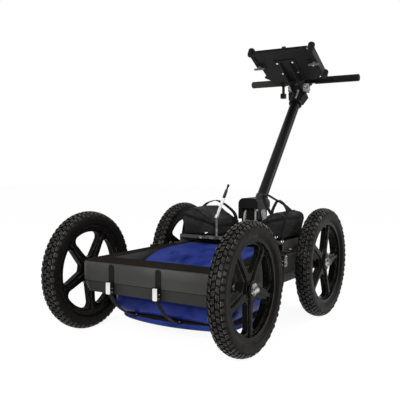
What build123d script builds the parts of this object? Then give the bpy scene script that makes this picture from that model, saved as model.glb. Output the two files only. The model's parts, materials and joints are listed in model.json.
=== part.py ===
from build123d import *
import math
import os

# Ground penetrating radar push cart, in millimetres.
# +Z is up and the cart's front faces -Y, so +X is on the right for someone who looks at its front.
# Everything is drawn about a point on the ground midway between the axles, and is moved to the
# bottom centre of the whole cart when it is written.

# Wheels
WHEEL_R = 203.2
TYRE_W = 56.0
TYRE_H = 50.2
TYRE_BULGE_UP = 25.0
TYRE_CROWN_H = 7.2
TYRE_SHOULDER_IN = 4.0
TYRE_SEAT_GAP = 0.1
RIM_W = 40.0
RIM_BARREL_T = 6.0
RIM_FLANGE_H = 6.0
RIM_FLANGE_T = 3.0
SPOKE_COUNT = 5
SPOKE_T = 18.0
SPOKE_W_HUB = 36.0
SPOKE_W_RIM = 27.0
SPOKE_RIDGE_W = 11.0
SPOKE_RIDGE_H = 5.0
WINDOW_IN_R = 44.0
WINDOW_RIM_WEB = 9.0
WINDOW_OUT_FILLET = 17.0
WINDOW_IN_FILLET = 8.0
HUB_R = 27.0
HUB_IN = 30.0
HUB_OUT = 20.0
SPOKE_ANGLES = {"front_right": 36.0, "front_left": 42.0, "rear_right": 15.0, "rear_left": 58.5}

# Axles, bearings and running clearances
AXLE_R = 6.0
SPACER_R = 10.0
BEARING_R = 14.0
BEARING_W = 8.0
HUB_BORE_R = 10.0
RUN_GAP = 0.05
SLIP_GAP = 0.02
PASS_GAP = 0.2
SIDE_GAP = 0.4
AXLE_NUT_R = 11.0
AXLE_NUT_H = 8.0
NUT_FLANGE_R = 19.5
NUT_FLANGE_T = 3.0
NUT_DOME_R = 11.0
NUT_HEX_H = 6.0
AXLE_END = 8.0
AXLE_SHOULDER = 16.75
AXLE_INSET = 95.2

# Distance encoder on the left rear wheel
ENCODER_DISC_R = 45.0
ENCODER_DISC_T = 3.0
ENCODER_DISC_HOLE_R = 16.0
ENCODER_SLOTS = 24
ENCODER_SLOT_R = 40.0
ENCODER_SLOT_HOLE_R = 1.8
SENSOR_W = 20.0
SENSOR_H = 24.0
SENSOR_GAP = 2.5

# Frame of box-section beams
FRAME_HALF_W = 266.0
FRAME_HALF_L = 396.0
FRAME_RISE = 51.8
FRAME_H = 104.0
SIDE_BEAM_W = 60.0
END_BEAM_W = 100.0
FRAME_WALL = 4.0
FRAME_CORNER_R = 45.0
FRAME_TOP_R = 12.0
FRAME_SKIRT_IN = 16.0
FRAME_SKIRT_H = 38.0

# Rear deck, its front bar and its bolts
DECK_H = 37.0
DECK_T = 3.0
DECK_INSET = 41.0
DECK_L = 255.0
DECK_OVERHANG = 2.0
DECK_FOOT_W = 28.0
DECK_FOOT_L = 217.0
DECK_LIP_H = 13.0
DECK_BOLT_OUT = 15.0
DECK_BOLT_BACK = (32.0, 122.0, 202.0)
BOLT_R = 4.0
BOLT_HEAD_R = 7.0
BOLT_HEAD_H = 5.3
BOLT_GRIP = 16.0
BAR_HALF_L = 132.0
BAR_T = 9.0
BAR_H = 12.0
BAR_RISE = 1.0
BAR_SCREW_X = 120.0
BAR_SCREW_R = 2.5
BAR_SCREW_HEAD_R = 5.0
BAR_SCREW_HEAD_H = 4.0

# Soft cases, with their handles and what they hold
CASE_IN_X = 58.0
CASE_INSET = 8.0
CASE_SETBACK = 7.0
CASE_L = 195.0
CASE_H = 110.0
CASE_CROWN_R = 40.0
CASE_CROWN_IN = 49.0
CASE_SLUMP_H = 58.0
CASE_SLUMP_R = 18.0
CASE_BULGE = 14.0
CASE_BULGE_H = 73.0
CASE_BULGE_R = 28.0
CASE_FOOT_R = 14.0
CASE_EDGE_R = 12.0
CASE_WALL = 4.0
HANDLE_W = 25.0
HANDLE_T = 3.0
PACK_SIZE = (110.0, 150.0, 46.0)
UNIT_SIZE = (110.0, 160.0, 46.0)
PACK_GAP = 12.0
# Each handle: the cart's side, how far it lies behind the case's front, and points along its middle,
# given as the distance out from the case's inner side and the height over the deck.
HANDLES = {
    "left": (-1, 140.0, [(2, 30), (-5, 43), (-8, 62), (3, 84), (31, 106), (54, 119), (85, 129), (119, 121),
                         (135, 112), (156, 94)]),
    "right_front": (1, 50.0, [(85, 97), (94, 110), (105, 124), (114, 139), (121, 144), (130, 140), (142, 131),
                              (154, 115), (159, 93)]),
    "right_rear": (1, 145.0, [(24, 59), (6, 80), (0, 108), (2, 138), (12, 154), (26, 158), (40, 153),
                              (61, 142), (92, 127), (110, 116), (124, 105)]),
}

# Antenna
ANT_SIDE_IN = 36.0
ANT_AHEAD = 64.0
ANT_L = 448.0
ANT_BOW_R = 540.0
ANT_CORNER_R = 95.0
ANT_BASE_LOW = 45.0
ANT_BASE_H = 15.0
ANT_FLOOR_T = 5.0
ANT_EDGE_R = 4.0
SEAL_H = 5.0
TUB_OUT_X = 6.0
TUB_OUT_Y = 4.0
TUB_CORNER_R = 80.0
TUB_ROUND_R = 40.0
TUB_SHOULDER_R = 16.0
TUB_H = 66.0
DOME_SIDE_IN = 57.0
DOME_END_IN = 19.0
DOME_CORNER_R = 30.0
HOOD_CLEAR = 17.0
HOOD_WALL = 4.0
HOOD_FLANGE = 8.0
HOOD_CREST_Y = 2.0
HOOD_ARC_R = 424.0
HOOD_EDGE_R = 12.0
SKID_T = 3.0
SKID_IN = 8.0
BOARD_T = 3.0
BOARD_SIDE_GAP = 25.0
BOARD_END_GAP = 18.7
BOARD_MODULE_GAP = 20.0
MODULE_SIZE = (120.0, 110.0, 60.0)

# Ladder straps, hangers and ratchet buckles
FRONT_BUCKLE_X = (-125.0, 58.0)
FRONT_BUCKLE_UP = 25.0
SIDE_BUCKLE_BACK = 100.0
SIDE_BUCKLE_DOWN = 17.0
HANGER_W = 20.0
HANGER_T = 3.0
HANGER_DOWN = 5.0
BUCKLE_W = 23.0
BUCKLE_H = 40.0
BUCKLE_T = 8.0
BUCKLE_EAR_T = 2.5
BUCKLE_EAR_H = 11.0
BUCKLE_PIN_R = 2.0
BUCKLE_PIN_DROP = 5.0
LEVER_BARREL_R = 4.0
LEVER_T = 4.0
LEVER_L = 34.0
LEVER_GAP = 0.5
STRAP_W = 18.0
STRAP_T = 3.0
STRAP_PAD_FRONT = 9.0
STRAP_PAD_BACK = 3.5
STRAP_SAG_IN = 29.0
STRAP_SAG_DOWN = 56.0
STRAP_STEPS = 6
SIDE_STRAP_HANG = 1.0
STRAP_SCREW_R = 1.6
STRAP_SCREW_HEAD_R = 4.5
STRAP_SCREW_HEAD_H = 2.5
STRAP_SCREW_IN = 6.0

# Mast foot, on the deck
MAST_PIVOT_H = 58.0
MAST_LEAN = 39.3
FOOT_HALF_W = 45.0
FOOT_HALF_L = 44.0
FOOT_T = 6.0
FOOT_BOLT_X = 37.0
FOOT_BOLT_Y = 34.0
CHEEK_IN = 22.0
CHEEK_T = 8.0
CHEEK_R = 40.0
CHEEK_GAP = 0.5
MAST_PIN_R = 6.0
MAST_PIN_HEAD_R = 11.0
MAST_PIN_HEAD_H = 5.0
TONGUE_R = 28.0
BLOCK_HALF_W = 44.0
BLOCK_HALF_L = 56.0
BLOCK_LOW = 43.0
BLOCK_TOP = 84.0
BLOCK_EDGE_R = 24.0
SOCKET_R = 26.0
SOCKET_LOW = 45.0
SOCKET_TOP = 112.0
SOCKET_FLOOR = 52.0
CLAMP_LEVER_Y = -16.0
CLAMP_LEVER_Z = 26.0
CLAMP_LEVER_TIP_Y = 12.0
CLAMP_LEVER_TIP_Z = -36.0
CLAMP_LEVER_T = 8.0
CLAMP_LEVER_HUB_R = 12.0
CLAMP_LEVER_TIP_R = 8.0
CLAMP_LEVER_PIN_R = 5.0
CLAMP_LEVER_PIN_L = 8.0

# Mast, head and handlebar, along the mast from its pivot
MAST_R = 22.5
MAST_WALL = 2.5
BAR_S = 789.5
BAR_R = 12.7
BAR_WALL = 2.0
BAR_HALF = 263.0
GRIP_R = 16.0
GRIP_IN_X = 62.0
GRIP_END_T = 5.5
TILT_DROP = 62.5
TILT_Y = -15.0
HEAD_L = 87.0
HEAD_R = 30.0
HEAD_CLEAR = 4.0
HEAD_TUBE_IN = 44.0
HEAD_WEB_HALF = 19.5
HEAD_WEB_FRONT = -24.0
HEAD_WEB_BACK = 20.0
SHOULDER_HALF_W = 44.0
SHOULDER_HALF_T = 20.0
SHOULDER_H = 45.0
TEE_R = 22.0
TEE_HALF = 38.0
TILT_BOLT_R = 5.0
TILT_BOSS_R = 24.0
KNOB_R = 22.5
KNOB_W = 20.0
KNOB_GAP = 1.0
KNOB_LOBES = 8
KNOB_SCALLOP_R = 5.0
LOCK_Y = -38.0
LOCK_DROP = 8.0
LOCK_LUG_HALF_W = 8.0
LOCK_LUG_HALF_H = 8.0
LOCK_R = 4.0
LOCK_ARM_X = 14.0
LOCK_ARM_L = 46.0

# Tray, in its own plane at rest, from the tilt bolt
TRAY_LEAN = 29.7
TRAY_HALF_W = 142.0
TRAY_D = 209.0
TRAY_T = 3.0
TRAY_REACH = 53.0
TRAY_RISE = 8.0
TRAY_CORNER_CUT = 34.0
TRAY_LIP_T = 3.0
TRAY_LIP_H = 12.0
TRAY_BITE_D = 14.0
TRAY_BITE_L = 70.0
TRAY_BITE_BACK = 37.0
BRACKET_HALF_W = 50.0
BRACKET_L = 150.0
BRACKET_T = 4.0
EAR_IN = 20.0
EAR_T = 6.0
EAR_R = 24.0
EAR_L = 130.0
EAR_TOE_H = 8.0
TRAY_BOLT_SPACING = 73.0
TRAY_BOLT_BACK = 100.0
TRAY_BOLT_R = 2.0
TRAY_BOLT_HEAD_R = 4.5
TRAY_BOLT_HEAD_H = 3.0
CLAMP_GAP = 0.3
CLAMP_T = 3.0
CLAMP_STRAP_W = 34.0
CLAMP_STRAP_IN = 27.0
CLAMP_RAIL_W = 16.0
CLAMP_RAIL_IN = 10.0
CLAMP_WALL_GAP = 0.5
CLAMP_TRAVEL = 20.0
BUMPER_R = 13.0
BUMPER_H = 34.0
BUMPER_FRONT_IN = 6.0
BUMPER_BACK_IN = 14.0
WING_IN = 11.0
WING_BACK = 119.0
WING_HUB_R = 7.0
WING_HUB_H = 11.0
WING_SPAN = 50.0
WING_T = 4.0
WING_H = 15.0
STUD_R = 3.0
STUD_L = 24.0
STUD_HEAD_R = 6.0
STUD_HEAD_H = 1.5

# Marker switch under the handlebar
MARKER_X = -102.0
MARKER_RING_T = 3.5
MARKER_RING_W = 14.0
MARKER_SIZE = (24.0, 22.0, 25.0)
MARKER_DROP = 63.0
MARKER_STEM_W = 12.0
MARKER_STEM_T = 6.0
BUTTON_R = 7.0
BUTTON_PROUD = 3.0
BUTTON_TRAVEL = 2.5
BUTTON_L = 8.0
BUTTON_GAP = 0.3

# Radio antenna on the deck's bar
RADIO_X = -52.0
RADIO_POST_H = 74.0
RADIO_POST_R = 4.0
RADIO_EYE_R = 6.0
RADIO_EYE_HALF = 3.0
RADIO_FORK_GAP = 0.3
RADIO_FORK_T = 3.2
RADIO_PIN_R = 2.0
RADIO_LEAN = 22.5
RADIO_BODY_R = 7.5
RADIO_BODY_L = 73.0
RADIO_COLLAR_R = 6.2
RADIO_COLLAR_L = 34.0
RADIO_TIP_R = 3.4
RADIO_TIP_L = 23.0
RADIO_CLEAR = 1.5


def leaning(origin, angle):
    """A plane at a point, whose up direction leans back from the vertical by an angle in radians."""
    return Plane(origin, x_dir=(1, 0, 0), z_dir=(0, math.sin(angle), math.cos(angle)))


# Places and sizes worked out from the ones above
RIM_EDGE_R = WHEEL_R - TYRE_H
RIM_BED_R = RIM_EDGE_R - RIM_FLANGE_H
TYRE_BULGE_R = RIM_EDGE_R + TYRE_BULGE_UP
TYRE_SHOULDER_R = WHEEL_R - TYRE_CROWN_H
WHEEL_X = FRAME_HALF_W + AXLE_SHOULDER + HUB_IN
AXLE_Y = FRAME_HALF_L - AXLE_INSET
AXLE_Z = WHEEL_R
FRAME_TOP = AXLE_Z + FRAME_RISE
FRAME_LOW = FRAME_TOP - FRAME_H
DECK_TOP = FRAME_TOP + DECK_H
DECK_HALF_W = FRAME_HALF_W - DECK_INSET
DECK_BACK = FRAME_HALF_L + DECK_OVERHANG
DECK_FRONT = DECK_BACK - DECK_L
DECK_BOLT_X = DECK_HALF_W + DECK_BOLT_OUT
DECK_BOLT_Y = [DECK_FRONT + back for back in DECK_BOLT_BACK]
BAR_Y = DECK_FRONT - BAR_T / 2
BAR_TOP = DECK_TOP + BAR_RISE
CASE_OUT_X = DECK_HALF_W - CASE_INSET
CASE_FRONT = DECK_FRONT + CASE_SETBACK
CASE_BACK = CASE_FRONT + CASE_L
ANT_HALF_W = FRAME_HALF_W - ANT_SIDE_IN
ANT_Y = -ANT_AHEAD
TUB_HALF_W = ANT_HALF_W + TUB_OUT_X
TUB_L = ANT_L + 2 * TUB_OUT_Y
LIP_TOP = ANT_BASE_LOW + ANT_BASE_H
HOOD_LOW = LIP_TOP + SEAL_H
TUB_TOP = HOOD_LOW + TUB_H
HOOD_TOP = DECK_TOP - DECK_LIP_H - HOOD_CLEAR
FRONT_BUCKLE_Z = FRAME_LOW + FRONT_BUCKLE_UP
SIDE_BUCKLE_Y = ANT_Y + SIDE_BUCKLE_BACK
SIDE_BUCKLE_Z = FRAME_TOP - SIDE_BUCKLE_DOWN
SIDE_STRAP_LOW = FRAME_LOW - SIDE_STRAP_HANG
HANGER_TOP = FRAME_TOP - HANGER_DOWN
BUCKLE_PIN_Y = -(HANGER_T + BUCKLE_T + LEVER_BARREL_R + LEVER_GAP)
MAST_PIVOT_Y = DECK_BACK - FOOT_HALF_L
MAST_PIVOT_Z = DECK_TOP + MAST_PIVOT_H
MAST = leaning((0, MAST_PIVOT_Y, MAST_PIVOT_Z), math.radians(MAST_LEAN))
BAR_POINT = MAST.from_local_coords(Vector(0, 0, BAR_S))
TILT_S = BAR_S - TILT_DROP
TILT_POINT = MAST.from_local_coords(Vector(0, TILT_Y, TILT_S))
HEAD_LOW = TILT_S - HEAD_L
HEAD_TOP = TILT_S - EAR_R - HEAD_CLEAR
LOCK_S = HEAD_TOP - LOCK_DROP
TRAY = leaning(TILT_POINT, math.radians(TRAY_LEAN))
TRAY_BACK = -TRAY_REACH
TRAY_FRONT = TRAY_BACK - TRAY_D
TRAY_TOP = TRAY_RISE + TRAY_T
WING_X = TRAY_HALF_W - WING_IN
WING_Y = TRAY_BACK - WING_BACK
RADIO_POINT = Vector(RADIO_X, BAR_Y, BAR_TOP + RADIO_POST_H)
BUTTON_POINT = Vector(MARKER_X, BAR_POINT.Y + MARKER_SIZE[1] / 2, BAR_POINT.Z - MARKER_DROP)
ORIGIN_Y = (BAR_POINT.Y + GRIP_R - AXLE_Y - WHEEL_R) / 2


def block(x0, x1, y0, y1, z0, z1):
    """A box between two corners."""
    return Pos((x0 + x1) / 2, (y0 + y1) / 2, (z0 + z1) / 2) * Box(x1 - x0, y1 - y0, z1 - z0)


def rod_x(radius, x0, x1, y=0.0, z=0.0):
    """A round bar along X."""
    return Pos((x0 + x1) / 2, y, z) * Rot(0, 90, 0) * Cylinder(radius, x1 - x0)


def rod_y(radius, y0, y1, x=0.0, z=0.0):
    """A round bar along Y."""
    return Pos(x, (y0 + y1) / 2, z) * Rot(90, 0, 0) * Cylinder(radius, y1 - y0)


def rod_z(radius, z0, z1, x=0.0, y=0.0):
    """A round bar along Z."""
    return Pos(x, y, (z0 + z1) / 2) * Cylinder(radius, z1 - z0)


def plate_yz(face, x0, x1):
    """A face drawn as (Y, Z) points, given its thickness along X."""
    return Pos(x0, 0, 0) * extrude(Plane.YZ * face, x1 - x0, dir=(1, 0, 0))


def plate_xz(face, y0, y1):
    """A face drawn as (X, Z) points, given its thickness along Y."""
    return Pos(0, y0, 0) * extrude(Plane.XZ * face, y1 - y0, dir=(0, 1, 0))


def plate_xy(face, z0, z1):
    """A face drawn as (X, Y) points, given its thickness along Z."""
    return Pos(0, 0, z0) * extrude(face, z1 - z0, dir=(0, 0, 1))


def outline(*points):
    """A straight-sided face whose corners stay where they are given."""
    return Polygon(*points, align=None)


def disc(radius, a, b):
    """A round face with its centre at (a, b)."""
    return Pos(a, b) * Circle(radius)


def hull(*faces):
    """The face that a tight band round the given faces holds."""
    edges = []
    for face in faces:
        edges += face.edges()
    return make_hull(edges)


def band(points, thickness):
    """A face of even thickness along a bent line, mitred at its corners."""
    left, right = [], []
    for i, (a, b) in enumerate(points):
        before = points[max(i - 1, 0)]
        after = points[min(i + 1, len(points) - 1)]
        into = Vector(a - before[0], b - before[1]) if i else Vector(after[0] - a, after[1] - b)
        out = Vector(after[0] - a, after[1] - b) if after != points[i] else into
        into, out = into.normalized(), out.normalized()
        normal = Vector(-(into.Y + out.Y), into.X + out.X).normalized()
        half = thickness / 2 / normal.dot(Vector(-into.Y, into.X))
        left.append((a + normal.X * half, b + normal.Y * half))
        right.append((a - normal.X * half, b - normal.Y * half))
    return outline(*left, *reversed(right))


def hex_bolt(head_r, head_h, shank_r, shank_l):
    """A hexagon bolt that points down, with the underside of its head at Z = 0."""
    head = extrude(RegularPolygon(head_r, 6), head_h)
    return head + rod_z(shank_r, -shank_l, 0)


def at_wheel(shape, side, end):
    """Puts a wheel piece, drawn with its outer face towards +X, at one of the four corners."""
    turned = shape if side > 0 else Rot(0, 0, 180) * shape
    return Pos(side * WHEEL_X, end * AXLE_Y, AXLE_Z) * turned


CORNERS = {"front_right": (1, -1), "front_left": (-1, -1), "rear_right": (1, 1), "rear_left": (-1, 1)}


def make_tyre():
    """Foam-filled tyre, seated between the rim's flanges."""
    seat = RIM_W / 2 - RIM_FLANGE_T - TYRE_SEAT_GAP
    bed = RIM_BED_R + TYRE_SEAT_GAP
    lip = RIM_EDGE_R + TYRE_SEAT_GAP
    shoulder = TYRE_W / 2 - TYRE_SHOULDER_IN

    def at(x, r):
        return (x, 0, r)

    bead = RIM_W / 2
    section = make_face([
        Line(at(-seat, bed), at(seat, bed)),
        Line(at(seat, bed), at(seat, lip)),
        Line(at(seat, lip), at(bead, lip)),
        ThreePointArc(at(bead, lip), at(TYRE_W / 2, TYRE_BULGE_R), at(shoulder, TYRE_SHOULDER_R)),
        ThreePointArc(at(shoulder, TYRE_SHOULDER_R), at(0, WHEEL_R), at(-shoulder, TYRE_SHOULDER_R)),
        ThreePointArc(at(-shoulder, TYRE_SHOULDER_R), at(-TYRE_W / 2, TYRE_BULGE_R), at(-bead, lip)),
        Line(at(-bead, lip), at(-seat, lip)),
        Line(at(-seat, lip), at(-seat, bed)),
    ])
    return revolve(section, Axis.X)


def spoke_window():
    """Rounded triangular opening between two spokes, drawn about the +Z direction in (Y, Z)."""
    half_turn = math.radians(180 / SPOKE_COUNT)
    out_r = RIM_BED_R - RIM_BARREL_T - WINDOW_RIM_WEB

    def edge(radius, width, side):
        across = radius * math.sin(half_turn) - width / 2 * math.cos(half_turn)
        along = radius * math.cos(half_turn) + width / 2 * math.sin(half_turn)
        return (side * across, along)

    inner = [edge(WINDOW_IN_R, SPOKE_W_HUB, side) for side in (-1, 1)]
    outer = [edge(out_r, SPOKE_W_RIM, side) for side in (-1, 1)]
    crown = math.hypot(*outer[0])
    face = make_face([
        Line(inner[0], inner[1]),
        Line(inner[1], outer[1]),
        ThreePointArc(outer[1], (0, crown), outer[0]),
        Line(outer[0], inner[0]),
    ])
    by_height = face.vertices().sort_by(Axis.Y)
    face = fillet(by_height[:2], WINDOW_IN_FILLET)
    return fillet(face.vertices().group_by(Axis.Y)[-1], WINDOW_OUT_FILLET)


def make_rim(first_angle):
    """Five-spoke rim with a hub that holds two bearings."""
    half = RIM_W / 2
    barrel = rod_x(RIM_EDGE_R, -half, half) - rod_x(RIM_BED_R - RIM_BARREL_T, -half, half)
    well = half - RIM_FLANGE_T
    barrel -= rod_x(RIM_EDGE_R, -well, well) - rod_x(RIM_BED_R, -well, well)
    web = rod_x(RIM_BED_R - RIM_BARREL_T / 2, -SPOKE_T / 2, SPOKE_T / 2)
    step = 360 / SPOKE_COUNT
    window = plate_yz(spoke_window(), -SPOKE_T, SPOKE_T)
    ridge_foot = HUB_R / 2
    ridge_end = RIM_BED_R - RIM_BARREL_T / 2
    ridge_face = outline((-SPOKE_RIDGE_W / 2, ridge_foot), (SPOKE_RIDGE_W / 2, ridge_foot),
                         (SPOKE_RIDGE_W / 2, ridge_end), (-SPOKE_RIDGE_W / 2, ridge_end))
    ridge = plate_yz(ridge_face, -SPOKE_T / 2 - SPOKE_RIDGE_H, SPOKE_T / 2 + SPOKE_RIDGE_H)
    for k in range(SPOKE_COUNT):
        angle = first_angle + k * step
        web -= Rot(-angle - step / 2, 0, 0) * window
    rim = barrel + web + rod_x(HUB_R, -HUB_IN, HUB_OUT)
    for k in range(SPOKE_COUNT):
        rim += Rot(-first_angle - k * step, 0, 0) * ridge
    seat = BEARING_W + SIDE_GAP
    rim -= rod_x(HUB_BORE_R, -HUB_IN, HUB_OUT)
    rim -= rod_x(BEARING_R + RUN_GAP, -HUB_IN, -HUB_IN + seat)
    rim -= rod_x(BEARING_R + RUN_GAP, HUB_OUT - seat, HUB_OUT)
    return rim


def wheel_bearings():
    """Two bearings on each stub axle, at the ends of the hub."""
    rings = []
    for side, end in CORNERS.values():
        for x0 in (-HUB_IN, HUB_OUT - BEARING_W):
            ring = rod_x(BEARING_R, x0, x0 + BEARING_W) - rod_x(AXLE_R + SLIP_GAP, x0, x0 + BEARING_W)
            rings.append(at_wheel(ring, side, end))
    return rings


def stub_axles():
    """Four axles with a shoulder against the beam, each fixed through the beam's outer wall."""
    face = FRAME_HALF_W - WHEEL_X
    inner = face - FRAME_WALL - AXLE_NUT_H - AXLE_END / 2
    outer = HUB_OUT + SIDE_GAP + NUT_FLANGE_T + AXLE_END
    axle = rod_x(AXLE_R, inner, outer) + rod_x(SPACER_R, face, -HUB_IN)
    return [at_wheel(axle, side, end) for side, end in CORNERS.values()]


def axle_nuts():
    """A chrome dome nut outside each wheel, and a plain nut inside the beam."""
    nuts = []
    dome_x = HUB_OUT + SIDE_GAP
    hex_x = dome_x + NUT_FLANGE_T
    dome = rod_x(NUT_FLANGE_R, dome_x, hex_x)
    dome += plate_yz(RegularPolygon(NUT_DOME_R, 6), hex_x, hex_x + NUT_HEX_H)
    dome += Pos(hex_x + NUT_HEX_H, 0, 0) * (
        Sphere(NUT_DOME_R * math.cos(math.pi / 6)) & block(0, WHEEL_R, -WHEEL_R, WHEEL_R, -WHEEL_R, WHEEL_R))
    dome -= rod_x(AXLE_R, dome_x, hex_x + AXLE_END)
    wall = FRAME_HALF_W - FRAME_WALL - WHEEL_X
    plain = plate_yz(RegularPolygon(AXLE_NUT_R, 6), wall - AXLE_NUT_H, wall)
    plain -= rod_x(AXLE_R, wall - AXLE_NUT_H, wall)
    for side, end in CORNERS.values():
        nuts += [at_wheel(dome, side, end), at_wheel(plain, side, end)]
    return nuts


def encoder_disc():
    """Slotted disc on the inner end of the left rear hub."""
    x1 = -HUB_IN
    x0 = x1 - ENCODER_DISC_T
    disc_body = rod_x(ENCODER_DISC_R, x0, x1) - rod_x(ENCODER_DISC_HOLE_R, x0, x1)
    for k in range(ENCODER_SLOTS):
        angle = 2 * math.pi * k / ENCODER_SLOTS
        disc_body -= rod_x(ENCODER_SLOT_HOLE_R, x0, x1,
                           ENCODER_SLOT_R * math.sin(angle), ENCODER_SLOT_R * math.cos(angle))
    return at_wheel(disc_body, *CORNERS["rear_left"])


def encoder_sensor():
    """Sensor on the beam's outer face, in front of the axle, that faces the disc's slots."""
    x0 = FRAME_HALF_W - WHEEL_X
    x1 = -HUB_IN - ENCODER_DISC_T - SENSOR_GAP
    near = ENCODER_SLOT_R - SENSOR_W / 2
    sensor = block(x0, x1, near, near + SENSOR_W, -SENSOR_H / 2, SENSOR_H / 2)
    return at_wheel(sensor, *CORNERS["rear_left"])


def beam_block(inset):
    """The frame's outer form, or the form a wall's thickness inside it."""
    half_w, half_l = FRAME_HALF_W - inset, FRAME_HALF_L - inset
    low, top = FRAME_LOW + inset, FRAME_TOP - inset
    corner, crease = FRAME_CORNER_R - inset, FRAME_LOW + FRAME_SKIRT_H
    full = RectangleRounded(2 * half_w, 2 * half_l, corner)
    upper = plate_xy(full, crease, top)
    upper = fillet(upper.faces().sort_by(Axis.Z)[-1].edges(), FRAME_TOP_R - inset)
    tuck = FRAME_SKIRT_IN * (crease - low) / FRAME_SKIRT_H
    small = RectangleRounded(2 * (half_w - tuck), 2 * (half_l - tuck), corner - tuck)
    return upper + loft([Pos(0, 0, low) * small, Pos(0, 0, crease) * full])


def frame_ring():
    """The whole hollow frame, before it is parted into its four beams."""
    in_x, in_y = FRAME_HALF_W - SIDE_BEAM_W, FRAME_HALF_L - END_BEAM_W
    opening = block(-in_x, in_x, -in_y, in_y, 0, 2 * FRAME_TOP)
    wall_x, wall_y = in_x + FRAME_WALL, in_y + FRAME_WALL
    cavity = beam_block(FRAME_WALL) - block(-wall_x, wall_x, -wall_y, wall_y, 0, 2 * FRAME_TOP)
    ring = beam_block(0) - opening - cavity
    for side, end in CORNERS.values():
        hole = rod_x(AXLE_R + PASS_GAP, FRAME_HALF_W - 2 * FRAME_WALL, FRAME_HALF_W + FRAME_WALL)
        ring -= Pos(0, end * AXLE_Y, AXLE_Z) * (hole if side > 0 else Rot(0, 0, 180) * hole)
    for x in (-DECK_BOLT_X, DECK_BOLT_X):
        for y in DECK_BOLT_Y:
            ring -= rod_z(BOLT_R + PASS_GAP, FRAME_TOP - 2 * FRAME_WALL, FRAME_TOP, x, y)
    return ring


def frame_beams():
    """Front, rear, left and right beams."""
    ring = frame_ring()
    in_x = FRAME_HALF_W - SIDE_BEAM_W
    far = 2 * FRAME_HALF_L
    return {
        "front_beam": ring & block(-in_x, in_x, -far, 0, 0, far),
        "rear_beam": ring & block(-in_x, in_x, 0, far, 0, far),
        "left_beam": ring & block(-far, -in_x, -far, far, 0, far),
        "right_beam": ring & block(in_x, far, -far, far, 0, far),
    }


def rear_deck():
    """Folded sheet that bridges the antenna and stands on the side beams."""
    low, under = FRAME_TOP, DECK_TOP - DECK_T
    inner = DECK_HALF_W - DECK_T
    foot = DECK_HALF_W + DECK_FOOT_W
    section = outline((-foot, low), (-foot, low + DECK_T), (-DECK_HALF_W, low + DECK_T),
                      (-DECK_HALF_W, DECK_TOP), (DECK_HALF_W, DECK_TOP), (DECK_HALF_W, low + DECK_T),
                      (foot, low + DECK_T), (foot, low), (inner, low), (inner, under),
                      (-inner, under), (-inner, low))
    deck = plate_xz(section, DECK_FRONT, DECK_BACK)
    deck += block(-inner, inner, DECK_FRONT, DECK_FRONT + DECK_T, DECK_TOP - DECK_LIP_H, under)
    for side in (-1, 1):
        x0, x1 = sorted((side * DECK_HALF_W, side * (foot + DECK_T)))
        deck -= block(x0, x1, DECK_FRONT + DECK_FOOT_L, DECK_BACK + DECK_T, low, low + DECK_T)
        for y in DECK_BOLT_Y:
            deck -= rod_z(BOLT_R + PASS_GAP, low, low + DECK_T, side * DECK_BOLT_X, y)
        for end in (-1, 1):
            deck -= rod_z(BOLT_R + PASS_GAP, under, DECK_TOP, side * FOOT_BOLT_X,
                          MAST_PIVOT_Y + end * FOOT_BOLT_Y)
        deck -= rod_y(BAR_SCREW_R + PASS_GAP, DECK_FRONT, DECK_FRONT + DECK_T,
                      side * BAR_SCREW_X, bar_screw_z())
    return deck


def bar_screw_z():
    """Height of the screws through the bar and the deck's lip, clear of the deck's sheet."""
    return DECK_TOP - DECK_T - BAR_SCREW_R - PASS_GAP - DECK_T / 4


def deck_bar():
    """Light bar along the deck's front edge, which keeps the cases on the deck."""
    bar = block(-BAR_HALF_L, BAR_HALF_L, DECK_FRONT - BAR_T, DECK_FRONT, BAR_TOP - BAR_H, BAR_TOP)
    bar = chamfer(bar.edges().filter_by(Axis.Y), BAR_T / 4)
    for side in (-1, 1):
        bar -= rod_y(BAR_SCREW_R + PASS_GAP, DECK_FRONT - BAR_T, DECK_FRONT,
                     side * BAR_SCREW_X, bar_screw_z())
    return bar


def frame_bolts():
    """Bolts of the deck and the mast foot, and screws of the deck's bar."""
    bolts = []
    bolt = hex_bolt(BOLT_HEAD_R, BOLT_HEAD_H, BOLT_R, BOLT_GRIP)
    screw = rod_y(BAR_SCREW_HEAD_R, -BAR_SCREW_HEAD_H, 0) + rod_y(BAR_SCREW_R, 0, BAR_T + 2 * DECK_T)
    for side in (-1, 1):
        for y in DECK_BOLT_Y:
            bolts.append(Pos(side * DECK_BOLT_X, y, FRAME_TOP + DECK_T) * bolt)
        for end in (-1, 1):
            bolts.append(Pos(side * FOOT_BOLT_X, MAST_PIVOT_Y + end * FOOT_BOLT_Y, DECK_TOP + FOOT_T) * bolt)
        bolts.append(Pos(side * BAR_SCREW_X, DECK_FRONT - BAR_T, bar_screw_z()) * screw)
    return bolts


def case_section(inset):
    """A case seen from the front as (X, Z), slumped towards the mast, or the form a wall inside it."""
    foot_z = DECK_TOP + CASE_FOOT_R
    slump = (CASE_IN_X + CASE_SLUMP_R, DECK_TOP + CASE_SLUMP_H - CASE_SLUMP_R)
    crown = (CASE_OUT_X - CASE_CROWN_IN, DECK_TOP + CASE_H - CASE_CROWN_R)
    bulge = (CASE_OUT_X + CASE_BULGE - CASE_BULGE_R, DECK_TOP + CASE_BULGE_H)
    return hull(disc(CASE_FOOT_R - inset, CASE_IN_X + CASE_FOOT_R, foot_z),
                disc(CASE_FOOT_R - inset, CASE_OUT_X - CASE_FOOT_R, foot_z),
                disc(CASE_SLUMP_R - inset, *slump), disc(CASE_CROWN_R - inset, *crown),
                disc(CASE_BULGE_R - inset, *bulge))


def case_form():
    """The right case as one full body."""
    form = plate_xz(case_section(0), CASE_FRONT, CASE_BACK)
    ends = form.faces().filter_by(Axis.Y)
    return fillet([edge for face in ends for edge in face.edges()], CASE_EDGE_R)


def on_side(shape, side):
    """A piece drawn on the right, or its mirror image on the left."""
    return shape if side > 0 else mirror(shape, Plane.YZ)


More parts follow.
